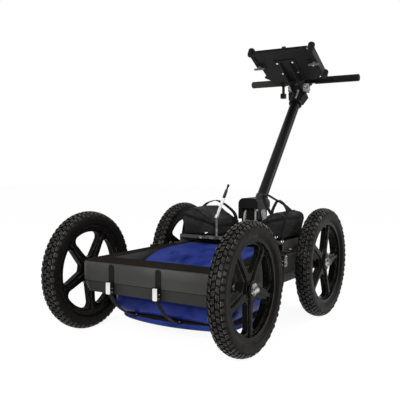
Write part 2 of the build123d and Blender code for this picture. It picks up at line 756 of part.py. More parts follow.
def case_shell(side):
    """A soft case, hollow inside."""
    hollow = plate_xz(case_section(CASE_WALL), CASE_FRONT + CASE_WALL, CASE_BACK - CASE_WALL)
    return on_side(case_form() - hollow, side)


def in_case(side, size):
    """A plain box on the floor of a case, near its outer side."""
    x = side * (CASE_OUT_X - CASE_WALL - PACK_GAP - size[0] / 2)
    y = (CASE_FRONT + CASE_BACK) / 2
    z = DECK_TOP + CASE_WALL + size[2] / 2
    return fillet((Pos(x, y, z) * Box(*size)).edges().filter_by(Axis.Z), CASE_WALL)


def handle_line(points):
    """The middle line of a handle, smooth through its points."""
    return Spline(*[(CASE_IN_X + out, DECK_TOP + up) for out, up in points])


def case_handles():
    """Webbing handles whose ends are sewn to the cases."""
    straps = []
    steps = 24
    for side, back, points in HANDLES.values():
        line = handle_line(points)
        edges = {}
        for half in (-HANDLE_T / 2, HANDLE_T / 2):
            edge = []
            for k in range(steps + 1):
                spot, along = line @ (k / steps), line % (k / steps)
                edge.append((spot.X - along.Y * half, spot.Y + along.X * half))
            edges[half] = edge
        left, right = edges.values()
        face = make_face([Spline(*left), Line(left[-1], right[-1]), Spline(*reversed(right)),
                          Line(right[0], left[0])])
        y = CASE_FRONT + back
        strap = plate_xz(face, y - HANDLE_W / 2, y + HANDLE_W / 2) - case_form()
        straps.append(on_side(strap, side))
    return straps


def antenna_outline(inset):
    """The antenna's base from above: straight sides, bowed ends and round corners, shrunk by an inset."""
    half_l = ANT_L / 2
    corner_y = half_l - ANT_BOW_R + math.sqrt(ANT_BOW_R ** 2 - ANT_HALF_W ** 2)
    face = make_face([
        ThreePointArc((-ANT_HALF_W, -corner_y), (0, -half_l), (ANT_HALF_W, -corner_y)),
        Line((ANT_HALF_W, -corner_y), (ANT_HALF_W, corner_y)),
        ThreePointArc((ANT_HALF_W, corner_y), (0, half_l), (-ANT_HALF_W, corner_y)),
        Line((-ANT_HALF_W, corner_y), (-ANT_HALF_W, -corner_y)),
    ])
    face = Pos(0, ANT_Y) * fillet(face.vertices(), ANT_CORNER_R)
    return offset(face, -inset) if inset else face


def tub_outline(inset):
    """The tub seen from above, shrunk by an inset."""
    return Pos(0, ANT_Y) * RectangleRounded(2 * (TUB_HALF_W - inset), TUB_L - 2 * inset, TUB_CORNER_R - inset)


def foot_outline(inset):
    """The flat foot that the tub stands on, inside its round bottom edge."""
    return tub_outline(TUB_ROUND_R + inset)


def strap_stations():
    """Each strap's place on the frame: where it hangs, which way it faces and how far in its screw is."""
    lip = antenna_outline(0)
    stations = {}
    for name, x in zip(("front_left", "front_right"), FRONT_BUCKLE_X):
        strip = lip & (Pos(x, 0) * Rectangle(STRAP_W, 2 * FRAME_HALF_L))
        reach = FRAME_HALF_L + strip.bounding_box().min.Y + STRAP_SCREW_IN
        stations[name] = (Pos(x, -FRAME_HALF_L, 0), FRONT_BUCKLE_Z, reach)
    strip = lip & (Pos(0, SIDE_BUCKLE_Y) * Rectangle(2 * FRAME_HALF_W, STRAP_W))
    reach = FRAME_HALF_W - strip.bounding_box().max.X + STRAP_SCREW_IN
    stations["side_left"] = (Pos(-FRAME_HALF_W, SIDE_BUCKLE_Y, 0) * Rot(0, 0, -90), SIDE_BUCKLE_Z, reach)
    stations["side_right"] = (Pos(FRAME_HALF_W, SIDE_BUCKLE_Y, 0) * Rot(0, 0, 90), SIDE_BUCKLE_Z, reach)
    return stations


def antenna_base():
    """Shallow tray whose edge stands out under the hood as a lip."""
    base = plate_xy(antenna_outline(0), ANT_BASE_LOW, LIP_TOP)
    base = fillet(base.faces().sort_by(Axis.Z)[0].edges(), ANT_EDGE_R)
    base -= plate_xy(foot_outline(HOOD_FLANGE), ANT_BASE_LOW + ANT_FLOOR_T, LIP_TOP)
    for place, _, reach in strap_stations().values():
        base -= place * rod_z(STRAP_SCREW_R + PASS_GAP / 2, ANT_BASE_LOW + ANT_FLOOR_T, LIP_TOP, 0, reach)
    return base


def antenna_seal():
    """Gasket between the base tray and the hood."""
    return plate_xy(foot_outline(0) - foot_outline(HOOD_FLANGE), LIP_TOP, HOOD_LOW)


def dome_profile(depth):
    """The dome from the side as (Y, Z), at a depth inside its surface: flat, then curved down in front."""
    arc_r = HOOD_ARC_R - depth
    centre_z = HOOD_TOP - HOOD_ARC_R
    top = centre_z + arc_r
    front, back = ANT_Y - ANT_L / 2, ANT_Y + ANT_L / 2

    def on_arc(y):
        return (y, centre_z + math.sqrt(arc_r ** 2 - (y - HOOD_CREST_Y) ** 2))

    crest = (HOOD_CREST_Y, top)
    return make_face([
        ThreePointArc(on_arc(front), on_arc((HOOD_CREST_Y + front) / 2), crest),
        Line(crest, (back, top)),
        Line((back, top), (back, LIP_TOP)),
        Line((back, LIP_TOP), (front, LIP_TOP)),
        Line((front, LIP_TOP), on_arc(front)),
    ])


def dome_form(depth):
    """The dome that rises through the frame, or the hollow at a depth inside it."""
    width = 2 * (TUB_HALF_W - DOME_SIDE_IN - depth)
    length = TUB_L - 2 * (DOME_END_IN + depth)
    rise = RectangleRounded(width, length, DOME_CORNER_R - depth)
    column = plate_xy(Pos(0, ANT_Y) * rise, HOOD_LOW + TUB_ROUND_R, 2 * HOOD_TOP)
    return column & plate_yz(dome_profile(depth), -ANT_HALF_W, ANT_HALF_W)


def tub_form(depth):
    """The wide tub under the frame, with a round bottom edge, or the hollow at a depth inside it."""
    tub = plate_xy(tub_outline(depth), HOOD_LOW + depth, TUB_TOP - depth)
    tub = fillet(tub.edges().group_by(Axis.Z)[0], TUB_ROUND_R - depth)
    return fillet(tub.edges().group_by(Axis.Z)[-1], TUB_SHOULDER_R - depth)


def antenna_hood():
    """Blue cover: a tub with a flange round its open foot, and a dome on top of it."""
    dome = dome_form(0)
    tops = [face for face in dome.faces() if face.normal_at().Z > 0.5]
    edges = [edge for face in tops for edge in face.edges()]
    rims = [edge for edge in edges if abs(edge.center().Y - HOOD_CREST_Y) > HOOD_EDGE_R]
    hollow = dome_form(HOOD_WALL)
    tub = tub_form(0) - tub_form(HOOD_WALL) - hollow
    tub -= plate_xy(foot_outline(HOOD_FLANGE), HOOD_LOW, HOOD_LOW + TUB_ROUND_R)
    dome = fillet(rims, HOOD_EDGE_R) - hollow - plate_xy(tub_outline(0), HOOD_LOW, TUB_TOP)
    return [tub, dome]


def skid_plate():
    """Wear plate under the antenna."""
    return plate_xy(antenna_outline(SKID_IN), ANT_BASE_LOW - SKID_T, ANT_BASE_LOW)


def dipole_boards():
    """Transmit and receive boards on the floor of the base tray."""
    low = ANT_BASE_LOW + ANT_FLOOR_T
    inset = TUB_ROUND_R + HOOD_FLANGE
    half = TUB_HALF_W - inset - BOARD_SIDE_GAP
    near = MODULE_SIZE[1] / 2 + BOARD_MODULE_GAP
    far = TUB_L / 2 - inset - BOARD_END_GAP
    board = block(-half, half, near, far, low, low + BOARD_T)
    return [Pos(0, ANT_Y) * board, Pos(0, ANT_Y) * Rot(0, 0, 180) * board]


def radar_module():
    """Pulse generator and sampler between the boards."""
    floor = ANT_BASE_LOW + ANT_FLOOR_T + MODULE_SIZE[2] / 2
    return fillet((Pos(0, ANT_Y, floor) * Box(*MODULE_SIZE)).edges().filter_by(Axis.Z), HOOD_WALL)


def strap_screws():
    """Screws that hold the ladder straps to the lip."""
    screws = []
    top = LIP_TOP + STRAP_T
    for place, _, reach in strap_stations().values():
        screw = rod_z(STRAP_SCREW_HEAD_R, top, top + STRAP_SCREW_HEAD_H, 0, reach)
        screw += rod_z(STRAP_SCREW_R, ANT_BASE_LOW + ANT_FLOOR_T, top, 0, reach)
        screws.append(place * screw)
    return screws


def strap_line(name, buckle_z, reach):
    """Points along a strap's middle: a sagging curve in front, round the beam's edge at a side."""
    y0, z0 = -HANGER_T - BUCKLE_T / 2, buckle_z - BUCKLE_H / 2 - STRAP_T / 2
    y2, z2 = reach - STRAP_PAD_FRONT, LIP_TOP + STRAP_T / 2
    if name.startswith("side"):
        line = [(y0, z0), (y0, SIDE_STRAP_LOW), (y2, z2)]
    else:
        y1, z1 = y0 + STRAP_SAG_IN, z0 - STRAP_SAG_DOWN
        line = []
        for step in range(STRAP_STEPS + 1):
            t = step / STRAP_STEPS
            a, b, c = (1 - t) ** 2, 2 * t * (1 - t), t ** 2
            line.append((a * y0 + b * y1 + c * y2, a * z0 + b * z1 + c * z2))
    return line + [(reach + STRAP_PAD_BACK, z2)]


def ladder_straps():
    """Toothed straps from the buckles to the antenna's lip."""
    straps = []
    for name, (place, buckle_z, reach) in strap_stations().items():
        strap = plate_yz(band(strap_line(name, buckle_z, reach), STRAP_T), -STRAP_W / 2, STRAP_W / 2)
        strap -= rod_z(STRAP_SCREW_R + PASS_GAP / 2, LIP_TOP, LIP_TOP + STRAP_T, 0, reach)
        straps.append(place * strap)
    return straps


def strap_hangers():
    """Flat bands on the frame's face that carry the buckles."""
    hangers = []
    for place, buckle_z, _ in strap_stations().values():
        round_r = HANGER_W / 2
        low = buckle_z - BUCKLE_H / 2
        face = outline((-round_r, low), (round_r, low), (round_r, HANGER_TOP - round_r),
                       (-round_r, HANGER_TOP - round_r)) + disc(round_r, 0, HANGER_TOP - round_r)
        hangers.append(place * plate_xz(face, -HANGER_T, 0))
    return hangers


def buckle_bases():
    """Buckle housings, each with two ears and the pin of its lever."""
    bases = []
    front = -HANGER_T - BUCKLE_T
    for place, buckle_z, _ in strap_stations().values():
        low, top = buckle_z - BUCKLE_H / 2, buckle_z + BUCKLE_H / 2
        half = BUCKLE_W / 2
        base = block(-half, half, front, -HANGER_T, low, top)
        pin_z = top - BUCKLE_PIN_DROP
        for side in (-1, 1):
            x0, x1 = sorted((side * half, side * (half - BUCKLE_EAR_T)))
            base += block(x0, x1, BUCKLE_PIN_Y - LEVER_BARREL_R, front, top - BUCKLE_EAR_H, top)
        base += rod_x(BUCKLE_PIN_R, -half, half, BUCKLE_PIN_Y, pin_z)
        bases.append(place * base)
    return bases


def buckle_lever(name):
    """Ratchet lever: a plate that hangs from the pin in front of its buckle."""
    place, buckle_z, _ = strap_stations()[name]
    pin_z = buckle_z + BUCKLE_H / 2 - BUCKLE_PIN_DROP
    half = BUCKLE_W / 2 - BUCKLE_EAR_T - LEVER_GAP
    lever = rod_x(LEVER_BARREL_R, -half, half, BUCKLE_PIN_Y, pin_z)
    plate = block(-half, half, BUCKLE_PIN_Y - LEVER_BARREL_R, BUCKLE_PIN_Y - LEVER_BARREL_R + LEVER_T,
                  pin_z - LEVER_L, pin_z)
    plate = fillet(plate.edges().filter_by(Axis.Y).group_by(Axis.Z)[0], half / 2)
    lever += plate
    lever -= rod_x(BUCKLE_PIN_R + RUN_GAP, -half, half, BUCKLE_PIN_Y, pin_z)
    return place * lever


def mast_foot():
    """Base plate and two cheeks, from one casting."""
    low, top = DECK_TOP, DECK_TOP + FOOT_T
    foot = block(-FOOT_HALF_W, FOOT_HALF_W, MAST_PIVOT_Y - FOOT_HALF_L, MAST_PIVOT_Y + FOOT_HALF_L, low, top)
    toe = Pos(MAST_PIVOT_Y, (low + top) / 2) * Rectangle(2 * FOOT_HALF_L, FOOT_T)
    cheek = hull(disc(CHEEK_R, MAST_PIVOT_Y, MAST_PIVOT_Z), toe)
    for side in (-1, 1):
        x0, x1 = sorted((side * CHEEK_IN, side * (CHEEK_IN + CHEEK_T)))
        foot += plate_yz(cheek, x0, x1)
        for end in (-1, 1):
            foot -= rod_z(BOLT_R + PASS_GAP, low, top, side * FOOT_BOLT_X, MAST_PIVOT_Y + end * FOOT_BOLT_Y)
    reach = CHEEK_IN + CHEEK_T
    return foot - rod_x(MAST_PIN_R + SLIP_GAP, -reach, reach, MAST_PIVOT_Y, MAST_PIVOT_Z)


def mast_pin():
    """Pivot pin through the cheeks and the block's legs, with a head on the left."""
    head = -BLOCK_HALF_W - SIDE_GAP
    pin = rod_x(MAST_PIN_R, head, BLOCK_HALF_W, MAST_PIVOT_Y, MAST_PIVOT_Z)
    return pin + rod_x(MAST_PIN_HEAD_R, head - MAST_PIN_HEAD_H, head, MAST_PIVOT_Y, MAST_PIVOT_Z)


def mast_block():
    """Black pivot block with a tongue between the cheeks, legs outside them and a socket for the mast."""
    y0, y1 = MAST_PIVOT_Y - BLOCK_HALF_L, MAST_PIVOT_Y + BLOCK_HALF_L
    z0, z1 = MAST_PIVOT_Z + BLOCK_LOW, MAST_PIVOT_Z + BLOCK_TOP
    body = block(-BLOCK_HALF_W, BLOCK_HALF_W, y0, y1, z0, z1)
    body = fillet(body.edges().filter_by(Axis.Y).group_by(Axis.Z)[-1], BLOCK_EDGE_R)
    rise = (BLOCK_LOW + BLOCK_TOP) / 2
    column = Pos(MAST_PIVOT_Y, MAST_PIVOT_Z + rise / 2) * Rectangle(2 * TONGUE_R, rise)
    limb = disc(TONGUE_R, MAST_PIVOT_Y, MAST_PIVOT_Z) + column
    body += plate_yz(limb, -CHEEK_IN + CHEEK_GAP, CHEEK_IN - CHEEK_GAP)
    for side in (-1, 1):
        x0, x1 = sorted((side * (CHEEK_IN + CHEEK_T + CHEEK_GAP), side * BLOCK_HALF_W))
        body += plate_yz(limb, x0, x1) & block(x0, x1, y0, y1, 0, z0)
        body += block(x0, x1, y0, MAST_PIVOT_Y, MAST_PIVOT_Z, z0)
    body += MAST.location * rod_z(SOCKET_R, SOCKET_LOW, SOCKET_TOP)
    body -= MAST.location * rod_z(MAST_R + SLIP_GAP, SOCKET_FLOOR, HEAD_LOW)
    body -= rod_x(MAST_PIN_R + RUN_GAP, -BLOCK_HALF_W, BLOCK_HALF_W, MAST_PIVOT_Y, MAST_PIVOT_Z)
    x0 = BLOCK_HALF_W - CLAMP_LEVER_PIN_L
    return body - rod_x(CLAMP_LEVER_PIN_R + RUN_GAP, x0 - SIDE_GAP, BLOCK_HALF_W,
                        MAST_PIVOT_Y + CLAMP_LEVER_Y, MAST_PIVOT_Z + CLAMP_LEVER_Z)


def clamp_lever():
    """Light lever on the block's right side that locks the mast."""
    hub = (MAST_PIVOT_Y + CLAMP_LEVER_Y, MAST_PIVOT_Z + CLAMP_LEVER_Z)
    tip = (MAST_PIVOT_Y + CLAMP_LEVER_TIP_Y, MAST_PIVOT_Z + CLAMP_LEVER_TIP_Z)
    x0 = BLOCK_HALF_W + SIDE_GAP
    face = hull(disc(CLAMP_LEVER_HUB_R, *hub), disc(CLAMP_LEVER_TIP_R, *tip))
    lever = plate_yz(face, x0, x0 + CLAMP_LEVER_T)
    return lever + rod_x(CLAMP_LEVER_PIN_R, BLOCK_HALF_W - CLAMP_LEVER_PIN_L, x0, *hub)


def mast_tube():
    """Round mast, from the block's socket into the head."""
    top = HEAD_LOW + HEAD_TUBE_IN
    return MAST.location * (rod_z(MAST_R, SOCKET_FLOOR, top) - rod_z(MAST_R - MAST_WALL, SOCKET_FLOOR, top))


def head_clamp():
    """Head of the mast: a collar, two shoulders, a web with the tilt boss and a tee for the handlebar."""
    head = rod_z(HEAD_R, HEAD_LOW, HEAD_TOP)
    shoulder_low = HEAD_TOP - SHOULDER_H
    shoulder = outline((-SHOULDER_HALF_W, HEAD_TOP), (SHOULDER_HALF_W, HEAD_TOP), (HEAD_R, shoulder_low),
                       (-HEAD_R, shoulder_low))
    head += plate_xz(shoulder, -SHOULDER_HALF_T, SHOULDER_HALF_T)
    head += block(-HEAD_WEB_HALF, HEAD_WEB_HALF, HEAD_WEB_FRONT, HEAD_WEB_BACK, HEAD_TOP - HEAD_CLEAR, BAR_S)
    head += rod_x(TILT_BOSS_R, -HEAD_WEB_HALF, HEAD_WEB_HALF, TILT_Y, TILT_S)
    head += rod_x(TEE_R, -TEE_HALF, TEE_HALF, 0, BAR_S)
    lug_low, lug_top = LOCK_S - LOCK_LUG_HALF_H, LOCK_S + LOCK_LUG_HALF_H
    head += block(-LOCK_LUG_HALF_W, LOCK_LUG_HALF_W, LOCK_Y - LOCK_LUG_HALF_H, 0, lug_low, lug_top)
    head -= rod_z(MAST_R + SLIP_GAP, HEAD_LOW, HEAD_LOW + HEAD_TUBE_IN)
    head -= rod_x(BAR_R + SLIP_GAP, -TEE_HALF, TEE_HALF, 0, BAR_S)
    head -= rod_x(TILT_BOLT_R + RUN_GAP, -HEAD_WEB_HALF, HEAD_WEB_HALF, TILT_Y, TILT_S)
    head -= rod_x(LOCK_R + RUN_GAP, -LOCK_LUG_HALF_W, LOCK_LUG_HALF_W, LOCK_Y, LOCK_S)
    return MAST.location * head


def handlebar():
    """Straight tube through the tee."""
    return MAST.location * (rod_x(BAR_R, -BAR_HALF, BAR_HALF, 0, BAR_S)
                            - rod_x(BAR_R - BAR_WALL, -BAR_HALF, BAR_HALF, 0, BAR_S))


def grips():
    """Foam grips with closed ends."""
    sleeves = []
    for side in (-1, 1):
        x0, x1 = sorted((side * GRIP_IN_X, side * BAR_HALF))
        end0, end1 = sorted((side * GRIP_IN_X, side * (BAR_HALF + GRIP_END_T)))
        sleeve = rod_x(GRIP_R, end0, end1, 0, BAR_S)
        tip = sleeve.edges().filter_by(GeomType.CIRCLE).sort_by(Axis.X)[-1 if side > 0 else 0]
        sleeve = fillet(tip, GRIP_END_T * 0.8)
        sleeves.append(MAST.location * (sleeve - rod_x(BAR_R + SLIP_GAP, x0, x1, 0, BAR_S)))
    return sleeves


def tilt_knobs():
    """Tilt bolt with a lobed knob at each end."""
    inner = EAR_IN + EAR_T + KNOB_GAP
    face = Circle(KNOB_R)
    for k in range(KNOB_LOBES):
        angle = 2 * math.pi * k / KNOB_LOBES
        face -= disc(KNOB_SCALLOP_R, KNOB_R * math.cos(angle), KNOB_R * math.sin(angle))
    face -= Circle(TILT_BOLT_R)
    pieces = [rod_x(TILT_BOLT_R, -inner - KNOB_W / 2, inner + KNOB_W / 2, TILT_Y, TILT_S)]
    for side in (-1, 1):
        x0, x1 = sorted((side * inner, side * (inner + KNOB_W)))
        knob = Pos(0, TILT_Y, TILT_S) * plate_yz(face, x0, x1)
        cap0, cap1 = sorted((side * (inner + KNOB_W / 2), side * (inner + KNOB_W)))
        pieces.append(knob + rod_x(TILT_BOLT_R, cap0, cap1, TILT_Y, TILT_S))
    return [MAST.location * piece for piece in pieces]


def lock_lever():
    """L-shaped rod: a pin through the head's lug and an arm along the mast."""
    lever = rod_x(LOCK_R, -LOCK_LUG_HALF_W - SIDE_GAP, LOCK_ARM_X, LOCK_Y, LOCK_S)
    lever += rod_z(LOCK_R, LOCK_S - LOCK_ARM_L, LOCK_S, LOCK_ARM_X, LOCK_Y)
    for s in (LOCK_S, LOCK_S - LOCK_ARM_L):
        lever += Pos(LOCK_ARM_X, LOCK_Y, s) * Sphere(LOCK_R)
    return MAST.location * lever


def tray_bolt_places():
    """Centres of the four bolts that hold the bracket to the tray."""
    half = TRAY_BOLT_SPACING / 2
    y = TRAY_BACK - TRAY_BOLT_BACK
    return [(sx * half, y + sy * half) for sx in (-1, 1) for sy in (-1, 1)]


def tray_plate():
    """Tray sheet with cut corners, a bite in each side and a lip along its front and back."""
    w, cut, bite = TRAY_HALF_W, TRAY_CORNER_CUT, TRAY_BITE_D
    bite_back = TRAY_BACK - TRAY_BITE_BACK
    bite_front = bite_back - TRAY_BITE_L
    half = [(0, TRAY_FRONT), (w - cut, TRAY_FRONT), (w, TRAY_FRONT + cut), (w, bite_front),
            (w - bite, bite_front + bite), (w - bite, bite_back - bite), (w, bite_back), (w, TRAY_BACK - cut),
            (w - cut, TRAY_BACK)]
    mirrored = [(-x, y) for x, y in reversed(half[1:])]
    plate = plate_xy(outline(*half, *mirrored), TRAY_RISE, TRAY_TOP)
    lip_top = TRAY_TOP + TRAY_LIP_H
    lip = w - cut
    plate += block(-lip, lip, TRAY_FRONT, TRAY_FRONT + TRAY_LIP_T, TRAY_RISE, lip_top)
    plate += block(-lip, lip, TRAY_BACK - TRAY_LIP_T, TRAY_BACK, TRAY_RISE, lip_top)
    for x, y in tray_bolt_places():
        plate -= rod_z(TRAY_BOLT_R + PASS_GAP, TRAY_RISE, TRAY_TOP, x, y)
    for side in (-1, 1):
        plate -= rod_z(STUD_R + PASS_GAP, TRAY_RISE, TRAY_TOP, side * WING_X, WING_Y)
        plate -= rod_z(STUD_HEAD_R + PASS_GAP, stud_seat(), TRAY_TOP, side * WING_X, WING_Y)
    return TRAY.location * plate


def stud_seat():
    """Height of the floor that the studs' heads are sunk to, just under the tray's top."""
    return TRAY_TOP - STUD_HEAD_H - PASS_GAP


def tray_bracket():
    """Bracket under the tray with two ears that straddle the head."""
    low = TRAY_RISE - BRACKET_T
    bracket = block(-BRACKET_HALF_W, BRACKET_HALF_W, TRAY_BACK - BRACKET_L, TRAY_BACK, low, TRAY_RISE)
    toe = Pos(TRAY_BACK - EAR_L / 2, low - EAR_TOE_H / 2) * Rectangle(EAR_L, EAR_TOE_H)
    ear = hull(disc(EAR_R, 0, 0), toe)
    for side in (-1, 1):
        x0, x1 = sorted((side * EAR_IN, side * (EAR_IN + EAR_T)))
        bracket += plate_yz(ear, x0, x1)
        bracket -= rod_x(TILT_BOLT_R + RUN_GAP, x0, x1)
    bracket -= block(-TRAY_HALF_W, TRAY_HALF_W, TRAY_FRONT, TRAY_BACK + TRAY_LIP_T,
                     TRAY_RISE, TRAY_RISE + EAR_R)
    for x, y in tray_bolt_places():
        bracket -= rod_z(TRAY_BOLT_R + PASS_GAP, low, TRAY_RISE, x, y)
    return TRAY.location * bracket


def tray_screws():
    """Screws of the bracket, and the studs that the wing nuts turn on."""
    screws = []
    for x, y in tray_bolt_places():
        low = TRAY_RISE - BRACKET_T
        screw = rod_z(TRAY_BOLT_HEAD_R, low - TRAY_BOLT_HEAD_H, low, x, y)
        screws.append(screw + rod_z(TRAY_BOLT_R, low, TRAY_TOP, x, y))
    for side in (-1, 1):
        stud = rod_z(STUD_HEAD_R, stud_seat(), stud_seat() + STUD_HEAD_H, side * WING_X, WING_Y)
        screws.append(stud + rod_z(STUD_R, TRAY_TOP - STUD_L, stud_seat(), side * WING_X, WING_Y))
    return [TRAY.location * screw for screw in screws]


def tray_clamp(side):
    """Sliding side wall under the tray with a bumper at the front corner and, on the right, at the back."""
    top = TRAY_RISE - CLAMP_GAP
    low = top - CLAMP_T
    wall_in = TRAY_HALF_W + CLAMP_WALL_GAP
    wall_out = wall_in + CLAMP_T
    strap_front, strap_back = WING_Y - CLAMP_STRAP_W / 2, WING_Y + CLAMP_STRAP_W / 2
    front = TRAY_FRONT + CLAMP_RAIL_IN
    back = TRAY_BACK - CLAMP_RAIL_IN if side > 0 else strap_back
    bumper_y = [TRAY_FRONT + BUMPER_FRONT_IN]
    if side > 0:
        bumper_y.append(TRAY_BACK - BUMPER_BACK_IN)
    clamp = block(WING_X - CLAMP_STRAP_IN, wall_out, strap_front, strap_back, low, top)
    clamp += block(wall_out - CLAMP_RAIL_W, wall_out, front, back, low, top)
    clamp += block(wall_in, wall_out, front, back, low, low + BUMPER_H)
    for y in bumper_y:
        clamp += rod_z(BUMPER_R, low, low + BUMPER_H, TRAY_HALF_W, y)
    slot_r = STUD_R + PASS_GAP
    slot_in = WING_X - CLAMP_TRAVEL - slot_r
    clamp -= block(slot_in, WING_X + slot_r, WING_Y - slot_r, WING_Y + slot_r, low, top)
    placed = clamp if side > 0 else mirror(clamp, Plane.YZ)
    return TRAY.location * placed


def wing_nut(side):
    """Wing nut under a clamp's strap."""
    top = TRAY_RISE - CLAMP_GAP - CLAMP_T - CLAMP_GAP
    x = side * WING_X
    nut = rod_z(WING_HUB_R, top - WING_HUB_H, top, x, WING_Y)
    wing = block(x - WING_SPAN / 2, x + WING_SPAN / 2, WING_Y - WING_T / 2, WING_Y + WING_T / 2,
                 top - WING_H, top - WING_HUB_H / 2)
    wing = fillet(wing.edges().filter_by(Axis.Y), WING_T)
    nut += wing
    return TRAY.location * (nut - rod_z(STUD_R + RUN_GAP, top - WING_H, top, x, WING_Y))


def marker_box():
    """Switch box that hangs from the handlebar on a ring and a stem."""
    y, z = BAR_POINT.Y, BAR_POINT.Z
    ring_r = GRIP_R + PASS_GAP + MARKER_RING_T
    half = MARKER_RING_W / 2
    width, depth, height = MARKER_SIZE
    centre = z - MARKER_DROP
    box = fillet((Pos(MARKER_X, y, centre) * Box(width, depth, height)).edges(), MARKER_RING_T)
    box += block(MARKER_X - MARKER_STEM_W / 2, MARKER_X + MARKER_STEM_W / 2,
                 y - MARKER_STEM_T / 2, y + MARKER_STEM_T / 2, centre, z - GRIP_R)
    box += rod_x(ring_r, MARKER_X - half, MARKER_X + half, y, z)
    box -= rod_x(GRIP_R + PASS_GAP, MARKER_X - half, MARKER_X + half, y, z)
    face = y + depth / 2
    return box - rod_y(BUTTON_R + BUTTON_GAP, face - BUTTON_L, face, MARKER_X, centre)


def marker_button():
    """Push button on the operator's side of the switch box."""
    face = BUTTON_POINT.Y
    start = face - BUTTON_L + BUTTON_TRAVEL + BUTTON_GAP
    return rod_y(BUTTON_R, start, face + BUTTON_PROUD, MARKER_X, BUTTON_POINT.Z)


def radio_post():
    """Thin post on the deck's bar with a round eye on top."""
    post = rod_z(RADIO_POST_R, BAR_TOP, RADIO_POINT.Z, RADIO_X, BAR_Y)
    post += rod_y(RADIO_EYE_R, BAR_Y - RADIO_EYE_HALF, BAR_Y + RADIO_EYE_HALF, RADIO_X, RADIO_POINT.Z)
    cut = RADIO_EYE_R + RADIO_CLEAR
    for side in (-1, 1):
        y0, y1 = sorted((BAR_Y + side * RADIO_EYE_HALF, BAR_Y + side * 2 * RADIO_POST_R))
        post -= block(RADIO_X - cut, RADIO_X + cut, y0, y1, RADIO_POINT.Z - 2 * cut, RADIO_POINT.Z + cut)
    return post - rod_y(RADIO_PIN_R + RUN_GAP, BAR_Y - 2 * RADIO_POST_R, BAR_Y + 2 * RADIO_POST_R,
                        RADIO_X, RADIO_POINT.Z)


def radio_antenna():
    """White radio antenna: a fork and pin, a body, a collar and a thin tip, leaning sideways."""
    inner = RADIO_EYE_HALF + RADIO_FORK_GAP
    outer = inner + RADIO_FORK_T
    start = RADIO_EYE_R + RADIO_CLEAR
    aerial = rod_y(RADIO_PIN_R, -outer, outer)
    for side in (-1, 1):
        y0, y1 = sorted((side * inner, side * outer))
        aerial += block(-RADIO_EYE_R, RADIO_EYE_R, y0, y1, -RADIO_EYE_R / 2, start + RADIO_CLEAR)
    body_top = start + RADIO_BODY_L
    collar_top = body_top + RADIO_COLLAR_L
    aerial += rod_z(RADIO_BODY_R, start, body_top)
    aerial += rod_z(RADIO_COLLAR_R, body_top, collar_top)
    aerial += rod_z(RADIO_TIP_R, collar_top, collar_top + RADIO_TIP_L)
    return Pos(RADIO_POINT) * Rot(0, RADIO_LEAN, 0) * aerial


def build_parts():
    """Every node's name with its solids."""
    parts = dict(frame_beams())
    parts["rear_deck"] = rear_deck()
    parts["deck_bar"] = deck_bar()
    parts["frame_bolts"] = frame_bolts()
    for name, (side, end) in CORNERS.items():
        parts[f"{name}_tyre"] = at_wheel(make_tyre(), side, end)
        parts[f"{name}_rim"] = at_wheel(make_rim(SPOKE_ANGLES[name]), side, end)
    parts["stub_axles"] = stub_axles()
    parts["axle_nuts"] = axle_nuts()
    parts["wheel_bearings"] = wheel_bearings()
    parts["encoder_disc"] = encoder_disc()
    parts["encoder_sensor"] = encoder_sensor()
    parts["left_case"] = case_shell(-1)
    parts["right_case"] = case_shell(1)
    parts["case_handles"] = case_handles()
    parts["battery_pack"] = in_case(-1, PACK_SIZE)
    parts["control_unit"] = in_case(1, UNIT_SIZE)
    parts["antenna_base"] = antenna_base()
    parts["antenna_seal"] = antenna_seal()
    parts["antenna_hood"] = antenna_hood()
    parts["skid_plate"] = skid_plate()
    parts["dipole_boards"] = dipole_boards()
    parts["radar_module"] = radar_module()
    parts["strap_screws"] = strap_screws()
    parts["ladder_straps"] = ladder_straps()
    parts["strap_hangers"] = strap_hangers()
    parts["buckle_bases"] = buckle_bases()
    for name in strap_stations():
        parts[f"{name}_lever"] = buckle_lever(name)
    parts["mast_foot"] = mast_foot()
    parts["mast_pin"] = mast_pin()
    parts["mast_block"] = mast_block()
    parts["clamp_lever"] = clamp_lever()
    parts["mast_tube"] = mast_tube()
    parts["head_clamp"] = head_clamp()
    parts["handlebar"] = handlebar()
    parts["grips"] = grips()
    parts["tilt_knobs"] = tilt_knobs()
    parts["lock_lever"] = lock_lever()
    parts["tray_plate"] = tray_plate()
    parts["tray_bracket"] = tray_bracket()
    parts["tray_screws"] = tray_screws()
    parts["left_tray_clamp"] = tray_clamp(-1)
    parts["right_tray_clamp"] = tray_clamp(1)
    parts["left_wing_nut"] = wing_nut(-1)
    parts["right_wing_nut"] = wing_nut(1)
    parts["marker_box"] = marker_box()
    parts["marker_button"] = marker_button()
    parts["radio_post"] = radio_post()
    parts["radio_antenna"] = radio_antenna()
    return parts


def main():
    os.makedirs("parts", exist_ok=True)
    to_origin = Pos(0, -ORIGIN_Y, 0)
    for name, shape in build_parts().items():
        pieces = shape if isinstance(shape, list) else [shape]
        solids = [to_origin * solid for piece in pieces for solid in piece.solids()]
        export_step(Compound(children=solids), f"parts/{name}.step")


if __name__ == "__main__":
    main()
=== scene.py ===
"""Looks of the ground penetrating radar cart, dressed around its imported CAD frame.

Named sizes of pieces are in millimetres. Names ending in _M, materials, the floor and the lamps use metres.
"""

import json
import math

import bmesh
import bpy
from mathutils import Matrix, Vector, noise
from mathutils.bvhtree import BVHTree


